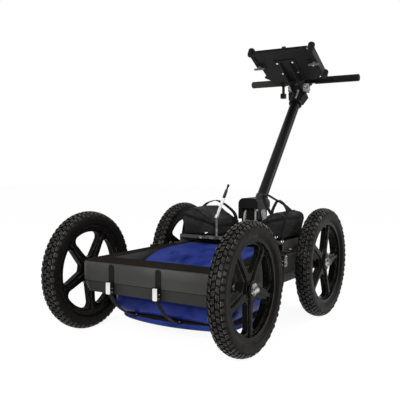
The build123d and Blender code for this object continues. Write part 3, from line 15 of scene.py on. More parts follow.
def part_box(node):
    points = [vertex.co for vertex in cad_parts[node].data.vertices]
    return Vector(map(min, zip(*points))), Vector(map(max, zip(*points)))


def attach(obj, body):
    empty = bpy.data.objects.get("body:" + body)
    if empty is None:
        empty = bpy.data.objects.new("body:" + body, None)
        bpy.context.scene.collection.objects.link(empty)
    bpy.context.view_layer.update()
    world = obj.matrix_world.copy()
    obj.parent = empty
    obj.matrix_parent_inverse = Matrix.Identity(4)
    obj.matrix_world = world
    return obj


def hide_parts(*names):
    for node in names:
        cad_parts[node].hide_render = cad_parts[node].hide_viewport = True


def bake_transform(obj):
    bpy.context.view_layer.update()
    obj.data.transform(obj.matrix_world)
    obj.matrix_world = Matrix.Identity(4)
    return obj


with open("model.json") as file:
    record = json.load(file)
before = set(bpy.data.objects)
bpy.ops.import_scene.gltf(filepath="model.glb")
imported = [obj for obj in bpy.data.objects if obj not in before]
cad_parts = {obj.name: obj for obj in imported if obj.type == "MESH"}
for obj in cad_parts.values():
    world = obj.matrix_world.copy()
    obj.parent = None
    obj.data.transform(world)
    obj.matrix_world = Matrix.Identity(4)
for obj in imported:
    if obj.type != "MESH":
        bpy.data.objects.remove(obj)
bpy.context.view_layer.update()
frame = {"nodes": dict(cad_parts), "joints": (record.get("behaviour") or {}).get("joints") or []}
SCENE = bpy.context.scene
NODES = frame["nodes"]
JOINTS = {joint["name"]: joint for joint in frame["joints"]}
MM = 0.001
CORNERS = ("front_right", "front_left", "rear_right", "rear_left")
WHEEL_AT = {corner: Vector(JOINTS[f"{corner}_spin"]["pos_m"]) for corner in CORNERS}
AXLE_MID_Y = (WHEEL_AT["front_right"].y + WHEEL_AT["rear_right"].y) / 2
TRAY_UP = Vector(JOINTS["left_wing_turn"]["axis"]).normalized()
RADIO_LEAN = math.radians(22.5)
RADIO_UP = Vector((math.sin(RADIO_LEAN), 0, math.cos(RADIO_LEAN)))


def turned_at(origin, *ways):
    """Axes at a point, along three directions."""
    return Matrix.Translation(origin) @ Matrix(ways).transposed().to_4x4()


def axes_at(origin, up):
    """Axes at a point: X across, Y back and Z along the given up direction."""
    back = up.cross(Vector((1, 0, 0))).normalized()
    return turned_at(origin, back.cross(up), back, up)


CART = Matrix.Translation((0, AXLE_MID_Y, 0))
TRAY = axes_at(Vector(JOINTS["tray_tilt"]["pos_m"]), TRAY_UP)
RADIO = axes_at(Vector(JOINTS["radio_tilt"]["pos_m"]), RADIO_UP)


def on(axes, x, y, z):
    """A point given in millimetres in some axes."""
    return axes @ (Vector((x, y, z)) * MM)


def at(x, y, z):
    """A point given in millimetres from the ground midway between the axles."""
    return on(CART, x, y, z)


# Materials

ROUGH_SPREAD = (0.3, 0.7)
PATCH_SPREAD = (0.35, 0.6)
PATCH_DETAIL = 4.0
EDGE_PATCHES, EDGE_SAMPLES = 60, 4
WAVE_PERIOD = 0.314


class Look:
    """A node material that is built up from noise, weave and edge layers."""

    def __init__(self, name, color, rough, metallic=0.0, specular=0.5, sheen=0.0):
        self.material = bpy.data.materials.new(name)
        self.material.use_nodes = True
        self.tree = self.material.node_tree
        self.shader = self.tree.nodes["Principled BSDF"]
        self.normal = None
        self.color = color
        self.put("Base Color", (*color, 1))
        self.put("Roughness", rough)
        self.put("Metallic", metallic)
        self.put("Specular IOR Level", specular)
        self.put("Sheen Weight", sheen)
        self.where = self.node("ShaderNodeTexCoord").outputs["Object"]
        self.color_out = None

    def put(self, socket, value):
        self.shader.inputs[socket].default_value = value

    def node(self, kind, sockets=None, **settings):
        """A new node, with values for some of its sockets and settings."""
        made = self.tree.nodes.new(kind)
        for socket, value in (sockets or {}).items():
            made.inputs[socket].default_value = value
        for key, value in settings.items():
            setattr(made, key, value)
        return made

    def link(self, out, into):
        self.tree.links.new(out, into)

    def joined(self, operation, first, second):
        """Two values added or multiplied."""
        made = self.node("ShaderNodeMath", operation=operation)
        self.link(first, made.inputs[0])
        self.link(second, made.inputs[1])
        return made.outputs["Value"]

    def noise(self, scale, detail=3.0, stretch=None):
        """Noise from 0 to 1 over the surface; stretch scales the coordinates along each axis."""
        tex = self.node("ShaderNodeTexNoise", {"Scale": scale, "Detail": detail})
        self.link(self.stretched(stretch), tex.inputs["Vector"])
        return tex.outputs["Fac"]

    def stretched(self, stretch):
        if stretch is None:
            return self.where
        scaled = self.node("ShaderNodeMapping", {"Scale": stretch})
        self.link(self.where, scaled.inputs["Vector"])
        return scaled.outputs["Vector"]

    def ramp(self, value, low, high, dark=0.0, light=1.0):
        limits = {"From Min": low, "From Max": high, "To Min": dark, "To Max": light}
        made = self.node("ShaderNodeMapRange", limits)
        self.link(value, made.inputs["Value"])
        return made.outputs["Result"]

    def tint(self, mask, color):
        """Mixes a colour over what is there, by a mask."""
        mix = self.node("ShaderNodeMix", data_type="RGBA")
        if self.color_out is None:
            mix.inputs["A"].default_value = (*self.color, 1)
        else:
            self.link(self.color_out, mix.inputs["A"])
        mix.inputs["B"].default_value = (*color, 1)
        self.link(mask, mix.inputs["Factor"])
        self.color_out = mix.outputs["Result"]
        self.link(self.color_out, self.shader.inputs["Base Color"])
        return self

    def mottle(self, scale, color, low, high, stretch=None):
        return self.tint(self.ramp(self.noise(scale, PATCH_DETAIL, stretch), low, high), color)

    def vary_rough(self, scale, low, high, stretch=None):
        spread = self.ramp(self.noise(scale, stretch=stretch), *ROUGH_SPREAD, low, high)
        self.link(spread, self.shader.inputs["Roughness"])
        return self

    def bump(self, height, distance):
        made = self.node("ShaderNodeBump", {"Distance": distance})
        self.link(height, made.inputs["Height"])
        if self.normal is not None:
            self.link(self.normal, made.inputs["Normal"])
        self.normal = made.outputs["Normal"]
        self.link(self.normal, self.shader.inputs["Normal"])
        return self

    def grain(self, scale, distance, detail=2.0, stretch=None):
        return self.bump(self.noise(scale, detail, stretch), distance)

    def soften(self, radius):
        """Rounds the look of sharp edges, and keeps what comes after on top of it."""
        made = self.node("ShaderNodeBevel", {"Radius": radius}, samples=EDGE_SAMPLES)
        self.normal = made.outputs["Normal"]
        self.link(self.normal, self.shader.inputs["Normal"])
        return self

    def edges(self, radius, color, amount, low=0.02, high=0.25):
        """Rubs a colour onto convex edges: wear, and on the rims and the tread light edges that are painted
        highlights and glints.
        """
        round_normal = self.node("ShaderNodeBevel", {"Radius": radius}, samples=EDGE_SAMPLES)
        flat = self.node("ShaderNodeNewGeometry")
        dot = self.node("ShaderNodeVectorMath", operation="DOT_PRODUCT")
        self.link(round_normal.outputs["Normal"], dot.inputs[0])
        self.link(flat.outputs["Normal"], dot.inputs[1])
        edge = self.ramp(dot.outputs["Value"], 1 - low, 1 - high, 0.0, amount)
        return self.tint(self.patchy(edge, EDGE_PATCHES), color)

    def patchy(self, mask, scale):
        """A mask broken up by noise."""
        return self.joined("MULTIPLY", mask, self.ramp(self.noise(scale, PATCH_DETAIL), *PATCH_SPREAD))

    def dust_and_light_on_tops(self, color, specular, low=0.55, high=0.9):
        """Colours the faces that look up and takes their shine away; the colour is painted light for how
        light falls on tops: darker, with a dusting, on the frame, and paler on the antenna.
        """
        split = self.node("ShaderNodeSeparateXYZ")
        self.link(self.node("ShaderNodeTexCoord").outputs["Normal"], split.inputs[0])
        shine = self.ramp(split.outputs["Z"], low, high, specular, 0.0)
        self.link(shine, self.shader.inputs["Specular IOR Level"])
        return self.tint(self.ramp(split.outputs["Z"], low, high), color)

    def height(self):
        """Height in the object's own axes."""
        split = self.node("ShaderNodeSeparateXYZ")
        self.link(self.where, split.inputs[0])
        return split.outputs["Z"]

    def painted_highlight_up(self, low, high, color, scale):
        """A patchy painted highlight that grows from one height to another."""
        return self.tint(self.patchy(self.ramp(self.height(), low, high), scale), color)

    def below(self, z, color):
        """Another colour under one height; on the frame, painted shade on the face below the crease."""
        return self.tint(self.ramp(self.height(), z - MM, z, 1.0, 0.0), color)

    def groove(self, z, half, color):
        """A dark line round the object at one height: painted shade in a groove."""
        off = self.node("ShaderNodeMath", {1: z}, operation="SUBTRACT")
        self.link(self.height(), off.inputs[0])
        away = self.node("ShaderNodeMath", operation="ABSOLUTE")
        self.link(off.outputs["Value"], away.inputs[0])
        return self.tint(self.ramp(away.outputs["Value"], half, half * 2, 1.0, 0.0), color)

    def waves(self, axis, period):
        """Waves across one axis; the texture's own period at a scale of 1 is WAVE_PERIOD metres."""
        tex = self.node("ShaderNodeTexWave", {"Scale": WAVE_PERIOD / period}, bands_direction=axis)
        self.link(self.where, tex.inputs["Vector"])
        return tex.outputs["Fac"]

    def weave(self, period, distance):
        """Crossing threads that show on faces of any direction."""
        total = self.waves("X", period)
        for axis in "YZ":
            total = self.joined("ADD", total, self.waves(axis, period))
        return self.bump(total, distance)


FRAME_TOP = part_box("front_beam")[1].z
FRAME_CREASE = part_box("front_beam")[0].z + 38.0 * MM
# Heights between which the frame's faces grow lighter: a painted highlight along the top edge.
FRAME_PAINTED_HIGHLIGHT = (FRAME_TOP - 34.0 * MM, FRAME_TOP - 6.0 * MM)
# Heights and half widths of dark grooves on the frame: painted shade in the grooves.
FRAME_SHADE_GROOVES = ((FRAME_CREASE, 0.9 * MM), (FRAME_TOP - 1.2 * MM, 0.5 * MM))


def shade(color, share):
    return tuple(c * share for c in color)


def grey(level):
    return (level, level, level)


def paint(name, color, rough, specular, grain, edge_wear_and_highlight, shade_grooves=(), dust_and_top_shade=None):
    """Rubbed paint. Grooves at some heights are painted dark as shade, and the face under the first groove is
    painted darker as shade. With a colour for the tops, the faces grow lighter towards the top as a painted
    highlight, and the faces that look up take that darker colour, painted shade with a dusting.
    """
    look = Look(name, color, rough, specular=specular)
    look.vary_rough(scale=9, low=rough - 0.05, high=rough + 0.09)
    look.mottle(scale=5, color=shade(color, 1.2), low=0.45, high=0.8)
    if dust_and_top_shade:
        # Painted highlight: the faces grow lighter towards the frame's top edge.
        look.painted_highlight_up(*FRAME_PAINTED_HIGHLIGHT, color=shade(color, 1.9), scale=5)
        # Painted shade: the faces that look up turn darker, with a dusting, and lose their shine.
        look.dust_and_light_on_tops(dust_and_top_shade, specular)
    look.edges(radius=0.003, color=edge_wear_and_highlight, amount=0.5)
    if shade_grooves:
        # Painted shade: the face below the crease is darker.
        look.below(shade_grooves[0][0], shade(color, 0.72))
    for z, half in shade_grooves:
        look.groove(z, half, shade(color, 0.25))
    look.soften(radius=0.0015)
    return look.grain(*grain).material


def plastic(name, color, rough, edge_wear_and_highlight, soften=0.0012, specular=0.09):
    look = Look(name, color, rough, specular=specular)
    look.vary_rough(scale=14, low=rough - 0.08, high=rough + 0.08)
    look.mottle(scale=11, color=shade(color, 1.3), low=0.45, high=0.8)
    look.edges(radius=0.003, color=edge_wear_and_highlight, amount=0.4)
    look.soften(soften)
    return look.grain(scale=900, distance=0.00006).material


def metal(name, color, rough, stretch=(1, 1, 1)):
    look = Look(name, color, rough, metallic=1.0)
    look.vary_rough(scale=120, low=rough - 0.08, high=rough + 0.12, stretch=stretch)
    look.mottle(scale=35, color=shade(color, 0.72), low=0.5, high=0.85)
    look.soften(radius=0.0008)
    return look.grain(scale=500, distance=0.00003, stretch=stretch).material


def rubber(name, color, rough, dust_and_top_shade, specular=0.1, wear_and_glint=None):
    look = Look(name, color, rough, specular=specular)
    look.vary_rough(scale=30, low=rough - 0.1, high=rough + 0.08)
    look.mottle(scale=22, color=dust_and_top_shade, low=0.5, high=0.85)
    if wear_and_glint:
        look.edges(radius=0.0016, color=wear_and_glint, low=0.06, high=0.26, amount=0.8)
    return look.grain(scale=700, distance=0.00012, detail=4.0).material


def cloth(name, color, period, depth, light):
    look = Look(name, color, rough=0.85, specular=0.06, sheen=0.05)
    look.put("Sheen Roughness", 0.5)
    look.mottle(scale=18, color=light, low=0.45, high=0.8)
    look.weave(period, depth)
    return look.grain(scale=25, distance=0.0012, detail=3.0).material


def hood_blue():
    """Blotchy, scuffed blue, painted paler as light where it looks up."""
    look = Look("antenna_blue", (0.0145, 0.027, 0.162), rough=0.22)
    # Painted light: the faces that look up are paler and less shiny.
    look.dust_and_light_on_tops((0.046, 0.068, 0.28), specular=0.07, low=0.3, high=0.8)
    look.vary_rough(scale=12, low=0.15, high=0.34)
    look.mottle(scale=7, color=(0.022, 0.039, 0.26), low=0.4, high=0.75)
    look.mottle(scale=16, color=(0.005, 0.0085, 0.064), low=0.5, high=0.8, stretch=(1, 0.5, 1))
    scuffs = look.noise(scale=160, detail=5.0, stretch=(1, 0.06, 1))
    look.tint(look.ramp(scuffs, low=0.66, high=0.8, dark=0.0, light=0.2), (0.05, 0.07, 0.27))
    look.edges(radius=0.006, color=(0.05, 0.07, 0.30), amount=0.5)
    look.soften(radius=0.002)
    return look.grain(scale=38, distance=0.0004).material


def speckled(name, color, light, rough, low=0.42):
    """Worn, blotchy plastic or cast metal; on the axle nuts the light blotches are painted reflections of
    chrome, and on the mast's collar they are partly painted highlight.
    """
    look = Look(name, color, rough, specular=0.2)
    look.mottle(scale=70, color=light, low=low, high=low + 0.2)
    look.mottle(scale=210, color=shade(color, 0.4), low=0.55, high=0.7)
    look.soften(radius=0.0015)
    return look.grain(scale=260, distance=0.0002).material


MAT = {
    "frame": paint("frame_paint", (0.040, 0.0393, 0.0386), rough=0.4, specular=0.08, grain=(1300, 0.00009),
                   edge_wear_and_highlight=grey(0.11), shade_grooves=FRAME_SHADE_GROOVES, dust_and_top_shade=(0.0235, 0.0203, 0.0170)),
    "mast": paint("mast_paint", (0.0042, 0.0042, 0.0044), rough=0.33, specular=0.1, grain=(900, 0.00003),
                  edge_wear_and_highlight=grey(0.03)),
    "tray": paint("tray_paint", (0.0090, 0.0088, 0.0086), rough=0.5, specular=0.09, grain=(1100, 0.00007),
                  edge_wear_and_highlight=grey(0.04)),
    # The rims' light edges are painted highlights along the spokes, with some wear.
    "rim": plastic("rim_plastic", (0.0046, 0.0041, 0.0037), rough=0.16, edge_wear_and_highlight=(0.22, 0.22, 0.21), soften=0.002,
                   specular=0.04),
    "black": plastic("black_plastic", (0.0065, 0.0065, 0.007), rough=0.46, edge_wear_and_highlight=grey(0.03)),
    "grey": plastic("grey_plastic", (0.11, 0.11, 0.108), rough=0.5, edge_wear_and_highlight=grey(0.3)),
    "white": plastic("white_plastic", (0.86, 0.86, 0.85), rough=0.4, edge_wear_and_highlight=grey(0.9)),
    "board": plastic("board_green", (0.02, 0.13, 0.05), rough=0.35, edge_wear_and_highlight=(0.3, 0.25, 0.1)),
    "knob": speckled("knob_grey", grey(0.08), (0.50, 0.50, 0.49), rough=0.5),
    # The collar's light blotches are partly painted highlight on the socket.
    "collar": speckled("collar_grey", grey(0.006), grey(0.085), rough=0.4, low=0.5),
    "sleeve": speckled("sleeve_grey", grey(0.016), grey(0.09), rough=0.45),
    "cast": speckled("cast_grey", (0.36, 0.36, 0.355), (0.56, 0.56, 0.55), rough=0.45),
    "alloy": metal("cast_alloy", (0.52, 0.52, 0.53), rough=0.42, stretch=(1, 1, 4)),
    "steel": metal("zinc_steel", (0.58, 0.58, 0.57), rough=0.34),
    "bright": metal("bright_steel", (0.80, 0.80, 0.79), rough=0.26),
    # The axle nuts are dark with light blotches that are painted reflections of chrome.
    "nut": speckled("nut_steel", grey(0.06), (0.62, 0.62, 0.61), rough=0.3, low=0.46),
    "bar": speckled("bar_grey", grey(0.030), (0.15, 0.15, 0.148), rough=0.4),
    "post": speckled("post_grey", grey(0.12), (0.26, 0.26, 0.255), rough=0.4),
    "tyre": rubber("tyre_rubber", (0.0052, 0.0043, 0.0038), rough=0.45, dust_and_top_shade=(0.0090, 0.0076, 0.0066),
                   specular=0.05),
    # The knob tops are painted lighter than the carcass as light on the tread, and their light edges are
    # painted glints with some wear.
    "tread": rubber("tread_rubber", (0.0135, 0.013, 0.0125), rough=0.34, dust_and_top_shade=(0.038, 0.037, 0.036),
                    wear_and_glint=(0.36, 0.355, 0.345)),
    "seal": rubber("seal_rubber", (0.024, 0.022, 0.016), rough=0.8, dust_and_top_shade=(0.035, 0.032, 0.024)),
    "foam": rubber("grip_foam", (0.0068, 0.0068, 0.007), rough=0.65, dust_and_top_shade=grey(0.010), specular=0.08),
    # A paler copy of the grip foam for the left grip: painted light on that grip.
    "painted_lit_foam": rubber("painted_lit_grip_foam", (0.042, 0.042, 0.039), rough=0.7, dust_and_top_shade=(0.054, 0.054, 0.050),
                        specular=0.04),
    "fabric": cloth("case_fabric", (0.0165, 0.0163, 0.0160), period=0.0011, depth=0.00022,
                    light=(0.044, 0.0435, 0.043)),
    "webbing": cloth("case_webbing", (0.0065, 0.0065, 0.007), period=0.0016, depth=0.0003,
                     light=(0.013, 0.013, 0.0135)),
    "blue": hood_blue(),
}

NODE_LOOK = {
    "frame": ("front_beam", "rear_beam", "left_beam", "right_beam", "rear_deck"),
    "alloy": ("radar_module", "control_unit"),
    "cast": ("mast_foot", "clamp_lever"),
    "steel": ("frame_bolts", "stub_axles", "wheel_bearings", "mast_pin"),
    "bright": ("strap_screws", "tray_screws", "front_left_lever", "front_right_lever", "side_left_lever",
               "side_right_lever"),
    "nut": ("axle_nuts",),
    "bar": ("deck_bar",),
    "post": ("radio_post", "lock_lever"),
    "rim": tuple(f"{corner}_rim" for corner in CORNERS),
    "black": ("encoder_disc", "encoder_sensor", "buckle_bases", "strap_hangers", "mast_block", "head_clamp",
              "left_tray_clamp", "right_tray_clamp", "marker_box", "battery_pack", "skid_plate"),
    "blue": ("antenna_base", "antenna_hood"),
    "seal": ("antenna_seal",),
    "board": ("dipole_boards",),
    "mast": ("mast_tube", "handlebar"),
    "foam": ("grips",),
    "tray": ("tray_plate", "tray_bracket"),
    "grey": ("left_wing_nut", "right_wing_nut", "marker_button"),
    "knob": ("tilt_knobs",),
    "white": ("radio_antenna",),
}
for look_name, members in NODE_LOOK.items():
    for member in members:
        NODES[member].data.materials.clear()
        NODES[member].data.materials.append(MAT[look_name])
# The left grip takes the paler foam, painted light on that grip.
NODES["grips"].data.materials.append(MAT["painted_lit_foam"])
for face in NODES["grips"].data.polygons:
    face.material_index = 1 if face.center.x < 0 else 0


# Mesh helpers; they take radii, sections and block sizes in millimetres

WELD_M = 1e-6
BAND_CORNER, BEND_SHARE = 0.3, 0.45


def finished(name, bm, material, sharp=35):
    """An object from a bmesh, smooth except at its sharp edges."""
    bmesh.ops.remove_doubles(bm, verts=bm.verts, dist=WELD_M)
    bmesh.ops.recalc_face_normals(bm, faces=bm.faces)
    mesh = bpy.data.meshes.new(name)
    bm.to_mesh(mesh)
    bm.free()
    mesh.shade_smooth()
    mesh.set_sharp_from_angle(angle=math.radians(sharp))
    mesh.materials.append(material)
    made = bpy.data.objects.new(name, mesh)
    SCENE.collection.objects.link(made)
    return made


def carried(piece, body, slot, *nodes):
    """Attaches a piece to the body it rides on and hides the parts that it stands for. Its slot is not used.
    """
    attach(piece, body)
    if nodes:
        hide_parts(*nodes)
    return piece


def add_block(bm, size, matrix, bevel=0.0, segments=2):
    scaled = matrix @ Matrix.Diagonal((*(Vector(size) * MM), 1.0))
    made = bmesh.ops.create_cube(bm, size=1.0, matrix=scaled)
    if bevel:
        edges = list(dict.fromkeys(edge for vert in made["verts"] for edge in vert.link_edges))
        bmesh.ops.bevel(bm, geom=edges, offset=bevel * MM, segments=segments, profile=0.5, affect="EDGES")


def add_rod(bm, radius, start, end, segments, end_radius=None):
    axis = end - start
    matrix = Matrix.Translation((start + end) / 2) @ axis.to_track_quat("Z", "Y").to_matrix().to_4x4()
    bmesh.ops.create_cone(bm, cap_ends=True, segments=segments, radius1=radius * MM,
                          radius2=(end_radius or radius) * MM, depth=axis.length, matrix=matrix)


def add_lathe(bm, profile, segments, matrix=Matrix.Identity(4)):
    """Turns a closed line of (along X, radius) points about X."""
    rings = []
    for k in range(segments):
        turn = Matrix.Rotation(2 * math.pi * k / segments, 4, "X")
        rings.append([bm.verts.new(matrix @ turn @ Vector((x * MM, 0, r * MM))) for x, r in profile])
    count = len(profile)
    for k in range(segments):
        ring, after = rings[k], rings[(k + 1) % segments]
        for i in range(count):
            j = (i + 1) % count
            bm.faces.new((ring[i], ring[j], after[j], after[i]))


def frames_along(points, side, closed=False):
    """Directions along a bent line: forward, the given sideways direction and the face's outward one."""
    made = []
    last = len(points) - 1
    for i, point in enumerate(points):
        before = points[i - 1] if closed else points[max(i - 1, 0)]
        after = points[(i + 1) % len(points)] if closed else points[min(i + 1, last)]
        forward = (after - before).normalized()
        across = (side - forward * side.dot(forward)).normalized()
        made.append((point, forward, across, across.cross(forward)))
    return made


def add_sweep(bm, points, section, side, closed=False):
    """Carries a section of (across, out) points along a line."""
    rings = []
    for point, _, across, out in frames_along(points, side, closed):
        rings.append([bm.verts.new(point + across * a + out * b) for a, b in section])
    count = len(section)
    steps = len(rings) if closed else len(rings) - 1
    for k in range(steps):
        ring, after = rings[k], rings[(k + 1) % len(rings)]
        for i in range(count):
            j = (i + 1) % count
            bm.faces.new((ring[i], ring[j], after[j], after[i]))
    if not closed:
        bm.faces.new(list(reversed(rings[0])))
        bm.faces.new(rings[-1])


def strap_section(width, thickness):
    """A flat band's section with softened corners."""
    w, t, c = width * MM / 2, thickness * MM / 2, thickness * MM * BAND_CORNER
    low = [(-w, -t + c), (-w + c, -t), (w - c, -t), (w, -t + c)]
    return low + [(w, t - c), (w - c, t), (-w + c, t), (-w, t - c)]


def round_section(radius, sides=8):
    turns = [2 * math.pi * k / sides for k in range(sides)]
    return [(radius * MM * math.cos(turn), radius * MM * math.sin(turn)) for turn in turns]


def spaced(points, step=None, count=None):
    """Points along a bent line at an even spacing, or a set number of spaces."""
    lengths = [0.0]
    for a, b in zip(points, points[1:]):
        lengths.append(lengths[-1] + (b - a).length)
    count = count or max(2, round(lengths[-1] / step))
    made, i = [], 0
    for k in range(count + 1):
        want = lengths[-1] * k / count
        while i < len(points) - 2 and lengths[i + 1] < want:
            i += 1
        share = (want - lengths[i]) / (lengths[i + 1] - lengths[i])
        made.append(points[i].lerp(points[i + 1], share))
    return made


def rounded_path(points, radius, steps=6):
    """A bent line whose corners are turned into short curves."""
    made = [points[0]]
    for before, corner, after in zip(points, points[1:], points[2:]):
        legs = ((before - corner).length, (after - corner).length)
        reach = min(radius * MM, legs[0] * BEND_SHARE, legs[1] * BEND_SHARE)
        start = corner + (before - corner).normalized() * reach
        end = corner + (after - corner).normalized() * reach
        for k in range(steps + 1):
            t = k / steps
            made.append(start * (1 - t) ** 2 + corner * (2 * t * (1 - t)) + end * t ** 2)
    return made + [points[-1]]


def smooth_path(points, steps=8):
    """A curve through every point."""
    made = []
    for i in range(len(points) - 1):
        before = points[max(i - 1, 0)]
        start, end = points[i], points[i + 1]
        after = points[min(i + 2, len(points) - 1)]
        for k in range(steps):
            t = k / steps
            square = 2 * before - 5 * start + 4 * end - after
            cube = 3 * start - before - 3 * end + after
            made.append(0.5 * (2 * start + (end - before) * t + square * t ** 2 + cube * t ** 3))
    return made + [points[-1]]


def add_ring(bm, centre, normal, radius, tube, sides=28):
    """A round ring of wire."""
    first = normal.orthogonal().normalized()
    second = normal.cross(first)
    points = []
    for k in range(sides):
        turn = 2 * math.pi * k / sides
        across, along = radius * MM * math.cos(turn), radius * MM * math.sin(turn)
        points.append(centre + first * across + second * along)
    add_sweep(bm, points, round_section(tube), normal, True)


# Tyres

WHEEL_R = 203.2
TREAD_DEPTH = 5.0
TREAD_PITCHES = 60
CROWN_R = 43.6
CARCASS = [(16.9, 147.1), (16.9, 153.1), (20.0, 153.1), (23.0, 156.6), (25.4, 161.0), (25.9, 163.0),
           (26.9, 163.6), (27.2, 166.0), (27.1, 168.0), (27.9, 173.0), (28.0, 178.0), (27.6, 183.0),
           (26.5, 188.0), (24.4, 192.2), (20.5, 194.6), (14.0, 196.8), (7.0, 198.1), (0.0, 198.4)]
TREAD_ROWS = [(-13.4, 9.8, 14.8, 0.5, 1.8), (0.0, 10.6, 14.2, 0.0, -1.8), (13.4, 9.8, 14.8, 0.5, 1.8)]
KNOB_TAPER = 0.14
KNOB_SINK = 1.0
LUG_TOP_X, LUG_TOP_HALF, LUG_ROOT_R = 21.2, 7.6, 192.5
LONG_LUG, SHORT_LUG = (28.6, 6.2, 183.5), (28.2, 5.2, 187.0)
LUG_RISE = 4.5
LUG_PHASE = {-1: 0.75, 1: 0.25}


def crown(x):
    """The tread's outer radius at some distance from the tyre's middle."""
    return WHEEL_R - (CROWN_R - math.sqrt(CROWN_R ** 2 - x ** 2))


def add_knob(bm, corners, angle):
    """A tread block from four (x, along, low radius, high radius) corners, tapered towards its top."""
    middle_x = sum(c[0] for c in corners) / 4
    middle_a = sum(c[1] for c in corners) / 4
    low, top = [], []
    for x, along, r0, r1 in corners:
        turn = Matrix.Rotation(angle + along / WHEEL_R, 4, "X")
        low.append(bm.verts.new(turn @ Vector((x, 0, r0)) * MM))
        tx, ta = x + (middle_x - x) * KNOB_TAPER, along + (middle_a - along) * KNOB_TAPER
        turn = Matrix.Rotation(angle + ta / WHEEL_R, 4, "X")
        top.append(bm.verts.new(turn @ Vector((tx, 0, r1)) * MM))
    # The knob tops take the lighter tread rubber: painted light on the tread.
    bm.faces.new(top).material_index = 1
    for i in range(4):
        j = (i + 1) % 4
        bm.faces.new((low[i], low[j], top[j], top[i]))
    bm.faces.new(list(reversed(low)))


def tyre_mesh():
    """A carcass with rows of tread blocks and long and short lugs over its shoulders."""
    bm = bmesh.new()
    add_lathe(bm, CARCASS + [(-x, r) for x, r in reversed(CARCASS[:-1])], 2 * TREAD_PITCHES)
    pitch = 2 * math.pi / TREAD_PITCHES
    for k in range(TREAD_PITCHES):
        for x, width, length, phase, skew in TREAD_ROWS:
            corners = []
            for sx, sa in ((-1, -1), (1, -1), (1, 1), (-1, 1)):
                cx = x + sx * width / 2
                along = sa * length / 2 + sx * skew
                corners.append((cx, along, crown(cx) - TREAD_DEPTH - KNOB_SINK, crown(cx)))
            add_knob(bm, corners, (k + phase) * pitch)
        low_x, low_half, low_r = SHORT_LUG if k % 2 else LONG_LUG
        for side, phase in LUG_PHASE.items():
            ends = []
            for along in (-1, 1):
                ends.append(((side * LUG_TOP_X, along * LUG_TOP_HALF, LUG_ROOT_R, crown(LUG_TOP_X)),
                             (side * low_x, along * low_half, low_r - KNOB_SINK, low_r + LUG_RISE)))
            add_knob(bm, [*ends[0], *reversed(ends[1])], (k + phase) * pitch)
    return bm


tyre_master = finished("tyre_master", tyre_mesh(), MAT["tyre"], sharp=28)
tyre_master.data.materials.append(MAT["tread"])
for corner in CORNERS:
    tyre = bpy.data.objects.new(f"{corner}_knobbly_tyre", tyre_master.data)
    SCENE.collection.objects.link(tyre)
    tyre.location = WHEEL_AT[corner]
    if corner.endswith("left"):
        tyre.rotation_euler = (0, 0, math.pi)
    carried(tyre, f"{corner}_wheel", "tyre", f"{corner}_tyre")
bpy.data.objects.remove(tyre_master)


# Ladder straps, with their buckles' small parts

FRAME_HALF_L, FRAME_HALF_W = 396.0, 266.0
STRAP_W, STRAP_T = 18.0, 2.4
STRAP_OFF = 7.0
STRAP_FROM = 21.5
STRAP_STEP = 2.5
STRAP_SAG = (29.0, -56.0)
SAG_STEPS = 24
SIDE_STRAP_BEND, SIDE_STRAP_BEND_R = 150.0, 22.0
LIP_TOP = 60.0
STRAP_OVER_LIP = 1.5
STRAP_END_BACK, STRAP_TIP_PAST = 9.0, 3.5
TOOTH, TOOTH_EDGE, TOOTH_PROUD = (11.5, 2.6, 1.6), 0.4, 0.5
PLAIN_STEPS = 8
RIVET_X, RIVET_Y, RIVET_ROWS = 10.098, -11.0, (-12, 0, 12)
RIVET_R, RIVET_TIP_R, RIVET_SINK, RIVET_PROUD = 1.6, 1.1, 1.0, 1.6
WASHER_R, WASHER_Z, WASHER_SINK, WASHER_PROUD = 7.8, 63.0, 0.4, 0.9
STRAP_PATHS = {
    "front_left": (at(-125, -FRAME_HALF_L, 0), 0, 176.0, 126.6, False),
    "front_right": (at(58, -FRAME_HALF_L, 0), 0, 176.0, 116.2, False),
    "side_left": (at(-FRAME_HALF_W, 36, 0), -90, 238.0, 42.0, True),
    "side_right": (at(FRAME_HALF_W, 36, 0), 90, 238.0, 42.0, True),
}


def strap_line(place, buckle_z, reach, around):
    """The strap's line from its buckle to the antenna's lip, in the axes of its place on the frame."""

    def spot(y, z):
        return place @ Vector((0, y * MM, z * MM))

    top, lip = buckle_z - STRAP_FROM, LIP_TOP + STRAP_OVER_LIP
    start = spot(-STRAP_OFF, top)
    end, tip = spot(reach - STRAP_END_BACK, lip), spot(reach + STRAP_TIP_PAST, lip)
    if around:
        return rounded_path([start, spot(-STRAP_OFF, SIDE_STRAP_BEND), end, tip], SIDE_STRAP_BEND_R)
    sag = spot(-STRAP_OFF + STRAP_SAG[0], top + STRAP_SAG[1])
    line = []
    for k in range(SAG_STEPS + 1):
        share = k / SAG_STEPS
        line.append(start.lerp(sag, share).lerp(sag.lerp(end, share), share))
    return line + [tip]


def make_strap(name, place, buckle_z, reach, around):
    """A toothed strap that runs from the frame's buckle to the antenna's lip."""
    path = spaced(strap_line(place, buckle_z, reach, around), STRAP_STEP * MM)
    side = place.to_3x3() @ Vector((1, 0, 0))
    bm = bmesh.new()
    add_sweep(bm, path, strap_section(STRAP_W, STRAP_T), side)
    for k, (point, forward, across, out) in enumerate(frames_along(path, side)):
        if k % 2 or k > len(path) - PLAIN_STEPS:
            continue
        tooth = turned_at(point - out * (STRAP_T / 2 + TOOTH_PROUD) * MM, across, forward, out)
        add_block(bm, TOOTH, tooth, TOOTH_EDGE, segments=1)
    strap = finished(f"{name}_ladder_strap", bm, MAT["black"])
    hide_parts("ladder_straps")
    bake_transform(strap)


